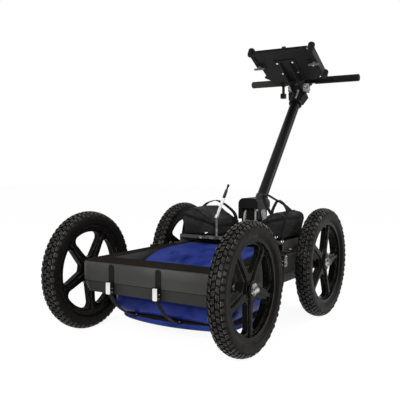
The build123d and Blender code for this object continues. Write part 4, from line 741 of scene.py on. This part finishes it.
def dress_strap(name, place, buckle_z, reach):
    """Rivets on the buckle, and a washer under the screw at the strap's end."""
    out = place.to_3x3() @ Vector((0, -1, 0))
    rivets = bmesh.new()
    for x in (-RIVET_X, RIVET_X):
        for z in RIVET_ROWS:
            face = on(place, x, RIVET_Y, buckle_z + z)
            low, top = face - out * RIVET_SINK * MM, face + out * RIVET_PROUD * MM
            add_rod(rivets, RIVET_R, low, top, segments=12, end_radius=RIVET_TIP_R)
    carried(finished(f"{name}_buckle_rivets", rivets, MAT["bright"]), "chassis", "strap_metal")
    washer = bmesh.new()
    pad = on(place, 0, reach, WASHER_Z)
    low, top = pad - Vector((0, 0, WASHER_SINK)) * MM, pad + Vector((0, 0, WASHER_PROUD)) * MM
    add_rod(washer, WASHER_R, low, top, segments=24)
    carried(finished(f"{name}_strap_washer", washer, MAT["black"]), "antenna", "black_plastic")


for strap_name, (strap_base, strap_turn, strap_z, strap_reach, strap_around) in STRAP_PATHS.items():
    strap_place = Matrix.Translation(strap_base) @ Matrix.Rotation(math.radians(strap_turn), 4, "Z")
    make_strap(strap_name, strap_place, strap_z, strap_reach, strap_around)
    dress_strap(strap_name, strap_place, strap_z, strap_reach)


# Antenna details

LEDGE_COVER_T = 0.9
LOOKS_UP, LEVEL_M = 0.99, 1e-4


def cover_of(node, height, thickness):
    """A thin sheet over the parts of a node that face up at one height."""
    source = bmesh.new()
    source.from_mesh(NODES[node].data)
    bm = bmesh.new()
    for face in source.faces:
        if face.normal.z > LOOKS_UP and all(abs(v.co.z - height) < LEVEL_M for v in face.verts):
            bm.faces.new([bm.verts.new(v.co) for v in face.verts])
    source.free()
    bmesh.ops.remove_doubles(bm, verts=bm.verts, dist=WELD_M)
    grown = bmesh.ops.extrude_face_region(bm, geom=list(bm.faces))
    for item in grown["geom"]:
        if isinstance(item, bmesh.types.BMVert):
            item.co.z += thickness
    return bm


ledge_cover = cover_of("antenna_base", LIP_TOP * MM, LEDGE_COVER_T * MM)
carried(finished("antenna_ledge_cover", ledge_cover, MAT["seal"]), "antenna", "seal")


# Soft cases

CASE_Y = (150.0, 345.0)
CASE_FLOOR = 292.0
CASE_DISCS = {
    -1: ((72.0, 306.0, 14.0), (203.0, 306.0, 14.0), (203.0, 365.0, 28.0), (168.0, 362.0, 40.0),
         (76.0, 332.0, 18.0)),
    1: ((82.0, 306.0, 14.0), (203.0, 306.0, 14.0), (203.0, 365.0, 28.0), (192.0, 360.0, 36.0),
        (92.0, 322.0, 16.0)),
}
CASE_MIDDLE = Vector((145.0, 345.0))
CASE_SHRINK = 3.0
CASE_CAP = 4.5
CASE_EDGE_R, CASE_EDGE_STEPS = 13.0, 5
CASE_END_BULGE, CASE_END_SHARES = 2.5, (0.2, 0.4, 0.6, 0.8, 0.92)
CASE_TURNS, SAME_SPOT = 720, 1e-6
CASE_AROUND = 84
CASE_CELL = 6.0
CASE_HELD, CASE_LIFT = 4.0, 0.4
FILL = {"quality": 6, "mass": 0.3, "tension_stiffness": 8, "compression_stiffness": 8,
        "bending_stiffness": 0.6, "use_pressure": True, "uniform_pressure_force": 4.0,
        "vertex_group_mass": "held"}
FILL_FRAMES = 20
LID_HIGH, LID_LOW, LID_SLUMP = (231.0, 373.0), (58.0, 327.0), 0.8
LID_CENTRE, LID_REACH_M = (145.0, 350.0), (0.086, 0.0975)
SEAM_HALF_M, SEAM_DEPTH_M = 0.005, 0.0028
CREASE, CREASE_SHIFT, CREASE_DEPTH_M = (26, 20, 38), 7, 0.0026
FOLD, FOLD_SHIFT, FOLD_DEPTH_M = (60, 16, 70), 3, 0.0018
UNCREASED = 6.0


def case_ring(side, inset):
    """The case's section in X and Z: the outer line round its five discs, moved inwards."""
    line = []
    for k in range(CASE_TURNS):
        turn = math.radians(360 * k / CASE_TURNS)
        way = Vector((math.cos(turn), math.sin(turn)))
        x, z, r = max(CASE_DISCS[side], key=lambda disc: disc[0] * way.x + disc[1] * way.y + disc[2])
        spot = Vector((x, z)) + way * (r - inset)
        if not line or (spot - line[-1]).length > SAME_SPOT:
            line.append(spot)
    return spaced(line + [line[0]], count=CASE_AROUND)[:-1]


def case_mesh(side):
    """A bag lofted from front to back, with round ends that bulge a little."""
    front, back = CASE_Y[0] + CASE_SHRINK, CASE_Y[1] - CASE_SHRINK
    stations = [(CASE_EDGE_R, share, -CASE_END_BULGE * (1 - share ** 2)) for share in CASE_END_SHARES]
    for k in range(CASE_EDGE_STEPS + 1):
        bend = math.pi / 2 * k / CASE_EDGE_STEPS
        stations.append((CASE_EDGE_R * (1 - math.sin(bend)), 1.0, CASE_EDGE_R * (1 - math.cos(bend))))
    half = (back - front) / 2
    count = round((half - CASE_EDGE_R) / CASE_CELL)
    stations += [(0.0, 1.0, CASE_EDGE_R + (half - CASE_EDGE_R) * (k + 1) / count) for k in range(count)]
    rows = [(inset, share, front + y) for inset, share, y in stations]
    rows += [(inset, share, back - y) for inset, share, y in reversed(stations[:-1])]
    bm = bmesh.new()
    rings = []
    for inset, share, y in rows:
        flat = [CASE_MIDDLE.lerp(p, share) for p in case_ring(side, inset + CASE_SHRINK)]
        rings.append([bm.verts.new(at(side * p.x, y, p.y)) for p in flat])
    for ring, after in zip(rings, rings[1:]):
        for i in range(CASE_AROUND):
            j = (i + 1) % CASE_AROUND
            bm.faces.new((ring[i], ring[j], after[j], after[i]))
    for ring, y in ((rings[0], front - CASE_END_BULGE), (rings[-1], back + CASE_END_BULGE)):
        centre = bm.verts.new(at(side * CASE_MIDDLE.x, y, CASE_MIDDLE.y))
        for i in range(CASE_AROUND):
            bm.faces.new((ring[i], ring[(i + 1) % CASE_AROUND], centre))
    return bm


def swell(piece, cap):
    """Blows the fabric out like a filled bag, no further than the cap, with its bottom held."""
    rest = [v.co.copy() for v in piece.data.vertices]
    floor = min(p.z for p in rest)
    held = piece.vertex_groups.new(name="held")
    held.add([i for i, p in enumerate(rest) if p.z < floor + CASE_HELD * MM], 1.0, "REPLACE")
    fill = piece.modifiers.new("fill", "CLOTH")
    for setting, value in FILL.items():
        setattr(fill.settings, setting, value)
    fill.settings.effector_weights.gravity = 0.0
    fill.collision_settings.use_collision = False
    for step in range(1, FILL_FRAMES + 1):
        SCENE.frame_set(step)
    shaped = piece.evaluated_get(bpy.context.evaluated_depsgraph_get())
    moved = [v.co.copy() for v in shaped.data.vertices]
    piece.modifiers.remove(fill)
    SCENE.frame_set(1)
    for vert, before, after in zip(piece.data.vertices, rest, moved):
        shift = after - before
        if shift.length > cap:
            shift *= cap / shift.length
        vert.co = before + shift
        vert.co.z = max(vert.co.z, (CASE_FLOOR + CASE_LIFT) * MM)


def lid_z(x):
    """Height of the lid's seam, which slumps towards the mast."""
    share = max((abs(x) / MM - LID_LOW[0]) / (LID_HIGH[0] - LID_LOW[0]), 0.0)
    return (LID_LOW[1] + (LID_HIGH[1] - LID_LOW[1]) * share ** LID_SLUMP) * MM


def make_case(word, side):
    """A padded case, swollen, creased and drawn in along the seam of its lid."""
    case = finished(f"{word}_soft_case", case_mesh(side), MAT["fabric"], sharp=80)
    swell(case, CASE_CAP * MM)
    for vert in case.data.vertices:
        p = vert.co
        if p.z < (CASE_FLOOR + UNCREASED) * MM:
            continue
        spot = Vector((p.x * CREASE[0], p.y * CREASE[1], p.z * CREASE[2] + side * CREASE_SHIFT))
        crease = noise.noise(spot)
        fold = noise.noise(Vector((p.x * FOLD[0] + side * FOLD_SHIFT, p.y * FOLD[1], p.z * FOLD[2])))
        seam = math.exp(-((p.z - lid_z(p.x)) / SEAM_HALF_M) ** 2) * -SEAM_DEPTH_M
        vert.co += vert.normal * (crease * CREASE_DEPTH_M + abs(fold) * -FOLD_DEPTH_M + seam)
    smooth = case.modifiers.new("smooth", "SUBSURF")
    smooth.levels = smooth.render_levels = 1
    carried(case, "chassis", "case_fabric", f"{word}_case")
    return BVHTree.FromPolygons([v.co for v in case.data.vertices], [p.vertices for p in case.data.polygons])


TAPE_W, TAPE_T, TAPE_LIFT, TAPE_STEPS = 15.0, 1.6, 0.8, 150
ZIP_TOOTH, ZIP_LIFT, ZIP_TEETH = (4.6, 1.2, 1.6), 1.8, 320
PIPING_R, PIPING_IN, PIPING_LIFT = 2.2, 4.0, 0.8


def laid(skin, probe, lift):
    """The nearest point of the fabric, lifted off it."""
    hit, normal, _, _ = skin.find_nearest(probe)
    return hit + normal * lift


def lid_loop(skin, side, lift, count):
    """Points of the lid's seam, laid on the fabric."""
    centre = at(side * LID_CENTRE[0], sum(CASE_Y) / 2, LID_CENTRE[1])
    points = []
    for k in range(count):
        turn = 2 * math.pi * k / count
        away = Vector((math.cos(turn), math.sin(turn), 0))
        edge = Vector((away.x * LID_REACH_M[0], away.y * LID_REACH_M[1], 0))
        probe = centre + edge * (1 / max(abs(away.x), abs(away.y)))
        probe.z = lid_z(probe.x)
        points.append(laid(skin, probe, lift))
    return points


def rim_loop(skin, side, y, lift):
    """Points of a seam round the front or back rim of a case."""
    return [laid(skin, at(side * p.x, y, p.y), lift) for p in case_ring(side, PIPING_IN)]


def dress_case(word, side, skin):
    """Zip tape, zip teeth and piping along the rims."""
    up = Vector((0, 0, 1))
    tape = bmesh.new()
    seam = lid_loop(skin, side, TAPE_LIFT * MM, TAPE_STEPS)
    add_sweep(tape, seam, strap_section(TAPE_W, TAPE_T), up, True)
    carried(finished(f"{word}_zip_tape", tape, MAT["webbing"]), "chassis", "case_fabric")
    teeth = bmesh.new()
    for point, forward, across, out in frames_along(lid_loop(skin, side, ZIP_LIFT * MM, ZIP_TEETH), up, True):
        add_block(teeth, ZIP_TOOTH, turned_at(point, across, forward, out))
    carried(finished(f"{word}_zip_teeth", teeth, MAT["black"]), "chassis", "black_plastic")
    piping = bmesh.new()
    for y in (CASE_Y[0] + PIPING_IN, CASE_Y[1] - PIPING_IN):
        rim = rim_loop(skin, side, y, PIPING_LIFT * MM)
        add_sweep(piping, rim, round_section(PIPING_R), Vector((0, 1, 0)), True)
    carried(finished(f"{word}_piping", piping, MAT["webbing"]), "chassis", "case_fabric")


HANDLE_W, HANDLE_T, HANDLE_STEP = 25.0, 2.6, 3.0
PATCH, PATCH_LIFT, PATCH_EDGE = (26.0, 27.0, 3.0), 0.4, 1.0
HANDLES = {
    "left": (-1, 290.0, ((60, 322), (53, 335), (50, 354), (61, 376), (89, 398), (112, 411), (143, 421),
                         (177, 413), (193, 404), (214, 386))),
    "right_front": (1, 200.0, ((150, 378), (155, 398), (163, 416), (172, 431), (179, 436), (188, 432),
                               (200, 423), (212, 407), (217, 385))),
    "right_rear": (1, 295.0, ((120, 352), (98, 384), (80, 414), (73, 436), (77, 447), (87, 450), (98, 445),
                              (119, 434), (150, 419), (168, 408), (186, 394))),
}


def make_handle(name, side, y, line, skin):
    """A loop of webbing that stands on its case, with a sewn patch under each end."""
    path = spaced(smooth_path([at(side * x, y, z) for x, z in line]), HANDLE_STEP * MM)
    bm = bmesh.new()
    add_sweep(bm, path, strap_section(HANDLE_W, HANDLE_T), Vector((0, 1, 0)))
    for end in (path[0], path[-1]):
        spot, normal, _, _ = skin.find_nearest(end)
        along = Vector((0, 1, 0)).cross(normal).normalized()
        place = turned_at(spot + normal * PATCH_LIFT * MM, along, normal.cross(along), normal)
        add_block(bm, PATCH, place, PATCH_EDGE)
    handle = finished(f"{name}_handle", bm, MAT["webbing"], sharp=50)
    carried(handle, "chassis", "case_fabric", "case_handles")


RING_R, RING_WIRE = 4.2, 1.3
RING_FACE = Vector((0, -1, 0.2)).normalized()
TAB_W, TAB_T, TAB_IN, TAB_RISES = 7.0, 2.0, 3, (3, 6, 12, 16)
RINGS = {"left": ((-104.0, 146.0, 303.0),), "right": ((196.6, 146.0, 304.0), (223.0, 140.0, 291.0))}


def make_rings(word):
    """Metal rings on webbing tabs at the foot of a case's front."""
    rings, tabs = bmesh.new(), bmesh.new()
    for x, y, z in RINGS[word]:
        add_ring(rings, at(x, y, z), RING_FACE, RING_R, RING_WIRE)
        depths = (y, y, (y + CASE_Y[0]) / 2, CASE_Y[0] + TAB_IN)
        bent = [at(x, depth, z + rise) for depth, rise in zip(depths, TAB_RISES)]
        add_sweep(tabs, bent, strap_section(TAB_W, TAB_T), Vector((1, 0, 0)))
    carried(finished(f"{word}_case_rings", rings, MAT["bright"]), "chassis", "zinc_steel")
    carried(finished(f"{word}_case_tabs", tabs, MAT["webbing"]), "chassis", "case_fabric")


CASE_SKIN = {}
for case_word, case_side in (("left", -1), ("right", 1)):
    CASE_SKIN[case_side] = make_case(case_word, case_side)
    dress_case(case_word, case_side, CASE_SKIN[case_side])
    make_rings(case_word)
for handle_name, (handle_side, handle_y, handle_line) in HANDLES.items():
    make_handle(handle_name, handle_side, handle_y, handle_line, CASE_SKIN[handle_side])


# Radio antenna

RADIO_FORK = (3.3, 6.5)
RADIO_CHEEK, RADIO_CHEEK_Z, RADIO_CHEEK_EDGE = (9.5, 12.5), 3.0, 1.0
RADIO_PIN_R = 2.0
RADIO_SIDES = 28
RADIO_PROFILE = ((7.5, 2.0), (7.5, 4.6), (9.0, 5.0), (78.0, 6.2), (79.5, 6.0), (80.5, 5.2), (80.5, 2.0))
SLEEVE_PROFILE = ((80.0, 2.0), (80.0, 4.6), (84.0, 4.8), (85.0, 6.2), (112.0, 5.6), (114.5, 4.8),
                  (116.0, 3.4), (126.0, 3.1), (128.5, 4.7), (134.5, 4.7), (137.0, 3.2), (137.5, 1.0))


def make_radio():
    """A tapered white rod on a fork, with a blotchy dark sleeve and tip."""
    upright = RADIO @ Matrix.Rotation(math.radians(-90), 4, "Y")
    body = bmesh.new()
    add_lathe(body, RADIO_PROFILE, RADIO_SIDES, upright)
    for side in (-1, 1):
        y = side * (RADIO_FORK[0] + RADIO_FORK[1]) / 2
        place = RADIO @ Matrix.Translation(Vector((0, y, RADIO_CHEEK_Z)) * MM)
        size = (RADIO_CHEEK[0], RADIO_FORK[1] - RADIO_FORK[0], RADIO_CHEEK[1])
        add_block(body, size, place, RADIO_CHEEK_EDGE)
    ends = [on(RADIO, 0, y, 0) for y in (-RADIO_FORK[1], RADIO_FORK[1])]
    add_rod(body, RADIO_PIN_R, *ends, segments=12)
    carried(finished("radio_rod", body, MAT["white"]), "radio", "white_plastic", "radio_antenna")
    sleeve = bmesh.new()
    add_lathe(sleeve, SLEEVE_PROFILE, RADIO_SIDES, upright)
    carried(finished("radio_sleeve", sleeve, MAT["sleeve"]), "radio", "white_plastic", "radio_antenna")


make_radio()


# Tray details

TRAY_EDGE_Y, TRAY_EDGE_Z, TRAY_EDGE_R = -262.0, 20.0, 4.2
CLIP, CLIP_X, CLIP_LIFT, CLIP_EDGE = (18.0, 9.0, 14.0), 18.0, 4.0, 2.0
BUMPER_X, BUMPER_R = 142.0, 13.0
BUMPER_SPOTS = {"left": ((-142.0, -256.0),), "right": ((142.0, -256.0), (142.0, -67.0))}
BUMPER_RINGS = (14.0, 23.5, 33.0)
BUMPER_RIB = 2.4
BUMPER_CLEAR = 0.4
TRAY_SHEET = (8.2, 10.8)
GUSSET = ((106.0, -261.8), (126.2, -261.8), (126.2, -241.0))
GUSSET_LIP_TOP, GUSSET_LIP_T, GUSSET_LIP_EDGE = 18.0, 2.4, 0.6


def add_gusset(bm, side):
    """A small three-cornered sheet with a lip, which fills a front corner of the tray."""
    low, top = [[bm.verts.new(on(TRAY, side * x, y, z)) for x, y in GUSSET] for z in TRAY_SHEET]
    bm.faces.new(low)
    bm.faces.new(top)
    for i in range(3):
        j = (i + 1) % 3
        bm.faces.new((low[i], low[j], top[j], top[i]))
    inner, outer, front = GUSSET[0][0], GUSSET[1][0], GUSSET[0][1]
    middle = (side * (inner + outer) / 2, front + GUSSET_LIP_T / 2, (TRAY_SHEET[0] + GUSSET_LIP_TOP) / 2)
    size = (outer - inner, GUSSET_LIP_T, GUSSET_LIP_TOP - TRAY_SHEET[0])
    add_block(bm, size, TRAY @ Matrix.Translation(Vector(middle) * MM), GUSSET_LIP_EDGE)


def dress_tray():
    """A rolled edge with a clip and corner sheets between the front bumpers, and ribs round the bumpers."""
    edge = bmesh.new()
    reach = BUMPER_X - BUMPER_R - BUMPER_RIB - BUMPER_CLEAR
    ends = [on(TRAY, x, TRAY_EDGE_Y, TRAY_EDGE_Z) for x in (-reach, reach)]
    add_rod(edge, TRAY_EDGE_R, *ends, segments=14)
    clip_at = Vector((CLIP_X, TRAY_EDGE_Y, TRAY_EDGE_Z + CLIP_LIFT)) * MM
    add_block(edge, CLIP, TRAY @ Matrix.Translation(clip_at), CLIP_EDGE)
    for side in (-1, 1):
        add_gusset(edge, side)
    carried(finished("tray_front_edge", edge, MAT["tray"]), "tray", "tray_paint")
    up = (on(TRAY, 0, 0, 1) - on(TRAY, 0, 0, 0)).normalized()
    for word, spots in BUMPER_SPOTS.items():
        ribs = bmesh.new()
        for x, y in spots:
            for z in BUMPER_RINGS:
                add_ring(ribs, on(TRAY, x, y, z), up, BUMPER_R, BUMPER_RIB)
        carried(finished(f"{word}_bumper_ribs", ribs, MAT["black"]), f"{word}_clamp", "black_plastic")


dress_tray()


# Mast foot details

FORK_Y = (295.6, 298.2)
FORK_LEG, FORK_BRIDGE = (30.9, 38.0, 351.0, 391.0), (30.9, 46.0, 383.0, 391.0)
FORK_EDGE = 1.0
SOCKET_FROM = 436.0


def dress_mast_foot():
    """A light plate on the front of the pivot block's right leg, and a blotchy collar round its socket whose
    light blotches are partly painted highlight.
    """
    plate = bmesh.new()
    for x0, x1, z0, z1 in (FORK_LEG, FORK_BRIDGE):
        size = (x1 - x0, FORK_Y[1] - FORK_Y[0], z1 - z0)
        middle = at((x0 + x1) / 2, sum(FORK_Y) / 2, (z0 + z1) / 2)
        add_block(plate, size, Matrix.Translation(middle), FORK_EDGE)
    carried(finished("mast_lever_plate", plate, MAT["cast"]), "mast", "cast_alloy")
    block = NODES["mast_block"].data
    block.materials.append(MAT["collar"])
    for face in block.polygons:
        if face.center.z > SOCKET_FROM * MM:
            face.material_index = 1


dress_mast_foot()


# Camera, light and stage

CAMERA_AT = (1147.6, -1902.9, 568.3)
CAMERA_TO = (-41.15, 0.0, 439.48)
CAMERA_ROLL = 0.13
FOCAL_PX = 617.57
PHOTO_PX = 400
SENSOR_MM = 36.0


def facing(place, target):
    """Axes at a place that look along -Z at a target."""
    return Matrix.Translation(place) @ (target - place).to_track_quat("-Z", "Y").to_matrix().to_4x4()


camera_data = bpy.data.cameras.new("camera")
camera_data.sensor_width = SENSOR_MM
camera_data.lens = FOCAL_PX / PHOTO_PX * SENSOR_MM
camera = bpy.data.objects.new("camera", camera_data)
SCENE.collection.objects.link(camera)
roll = Matrix.Rotation(math.radians(CAMERA_ROLL), 4, "Z")
camera.matrix_world = facing(at(*CAMERA_AT), at(*CAMERA_TO)) @ roll
SCENE.camera = camera


def seen_white(tree, lit):
    """A mix that shows its second shader to the camera, to mirrors and through glass, else the lit one."""
    path = tree.nodes.new("ShaderNodeLightPath")
    seen = path.outputs["Is Camera Ray"]
    for other in ("Is Glossy Ray", "Is Transmission Ray"):
        most = tree.nodes.new("ShaderNodeMath")
        most.operation = "MAXIMUM"
        tree.links.new(seen, most.inputs[0])
        tree.links.new(path.outputs[other], most.inputs[1])
        seen = most.outputs["Value"]
    mix = tree.nodes.new("ShaderNodeMixShader")
    tree.links.new(seen, mix.inputs["Fac"])
    tree.links.new(lit, mix.inputs[1])
    return mix


WORLD_LIT = 0.36


def make_world():
    """A plain light on the object, which the camera, mirrors and glass see as white."""
    world = bpy.data.worlds.new("studio")
    SCENE.world = world
    world.use_nodes = True
    tree = world.node_tree
    lit = tree.nodes["Background"]
    lit.inputs["Color"].default_value = (1, 1, 1, 1)
    lit.inputs["Strength"].default_value = WORLD_LIT
    white = tree.nodes.new("ShaderNodeBackground")
    white.inputs["Color"].default_value = (1, 1, 1, 1)
    mix = seen_white(tree, lit.outputs["Background"])
    tree.links.new(white.outputs["Background"], mix.inputs[2])
    tree.links.new(mix.outputs["Shader"], tree.nodes["World Output"].inputs["Surface"])


FLOOR_HALF = 12.0
FLOOR_COLOR = (0.93, 0.93, 0.93, 1)
FLOOR_LIT_SHARE = 0.18
FLOOR_GLOW = 1.13


def make_floor():
    """A floor that looks white, keeps a share of its shadows and throws light back like a pale one."""
    bm = bmesh.new()
    bmesh.ops.create_grid(bm, x_segments=1, y_segments=1, size=FLOOR_HALF)
    material = bpy.data.materials.new("floor")
    material.use_nodes = True
    tree = material.node_tree
    lit = tree.nodes["Principled BSDF"]
    lit.inputs["Base Color"].default_value = FLOOR_COLOR
    lit.inputs["Roughness"].default_value = 0.8
    lit.inputs["Specular IOR Level"].default_value = 0.0
    white = tree.nodes.new("ShaderNodeEmission")
    white.inputs["Strength"].default_value = FLOOR_GLOW
    look = tree.nodes.new("ShaderNodeMixShader")
    look.inputs["Fac"].default_value = FLOOR_LIT_SHARE
    tree.links.new(white.outputs["Emission"], look.inputs[1])
    tree.links.new(lit.outputs["BSDF"], look.inputs[2])
    mix = seen_white(tree, lit.outputs["BSDF"])
    tree.links.new(look.outputs["Shader"], mix.inputs[2])
    tree.links.new(mix.outputs["Shader"], tree.nodes["Material Output"].inputs["Surface"])
    finished("floor", bm, material)


def make_lamp(name, place, target, width, height, power):
    """A rectangular lamp that faces a target."""
    data = bpy.data.lights.new(name, "AREA")
    data.shape = "RECTANGLE"
    data.size, data.size_y = width, height
    data.energy = power
    lamp = bpy.data.objects.new(name, data)
    SCENE.collection.objects.link(lamp)
    lamp.matrix_world = facing(Vector(place), Vector(target))


make_world()
make_floor()
make_lamp("key", (0.4, -2.7, 1.3), target=(0, -0.2, 0.3), width=0.8, height=0.7, power=38)
make_lamp("side", (2.6, -1.9, 1.1), target=(0, -0.2, 0.3), width=0.7, height=0.7, power=28)
make_lamp("rim", (2.4, 1.9, 1.5), target=(0, 0.2, 0.6), width=0.4, height=1.0, power=24)
make_lamp("top", (-0.6, 0.1, 3.4), target=(0, 0, 0.3), width=1.2, height=1.2, power=8)
SCENE.view_settings.view_transform = "Standard"
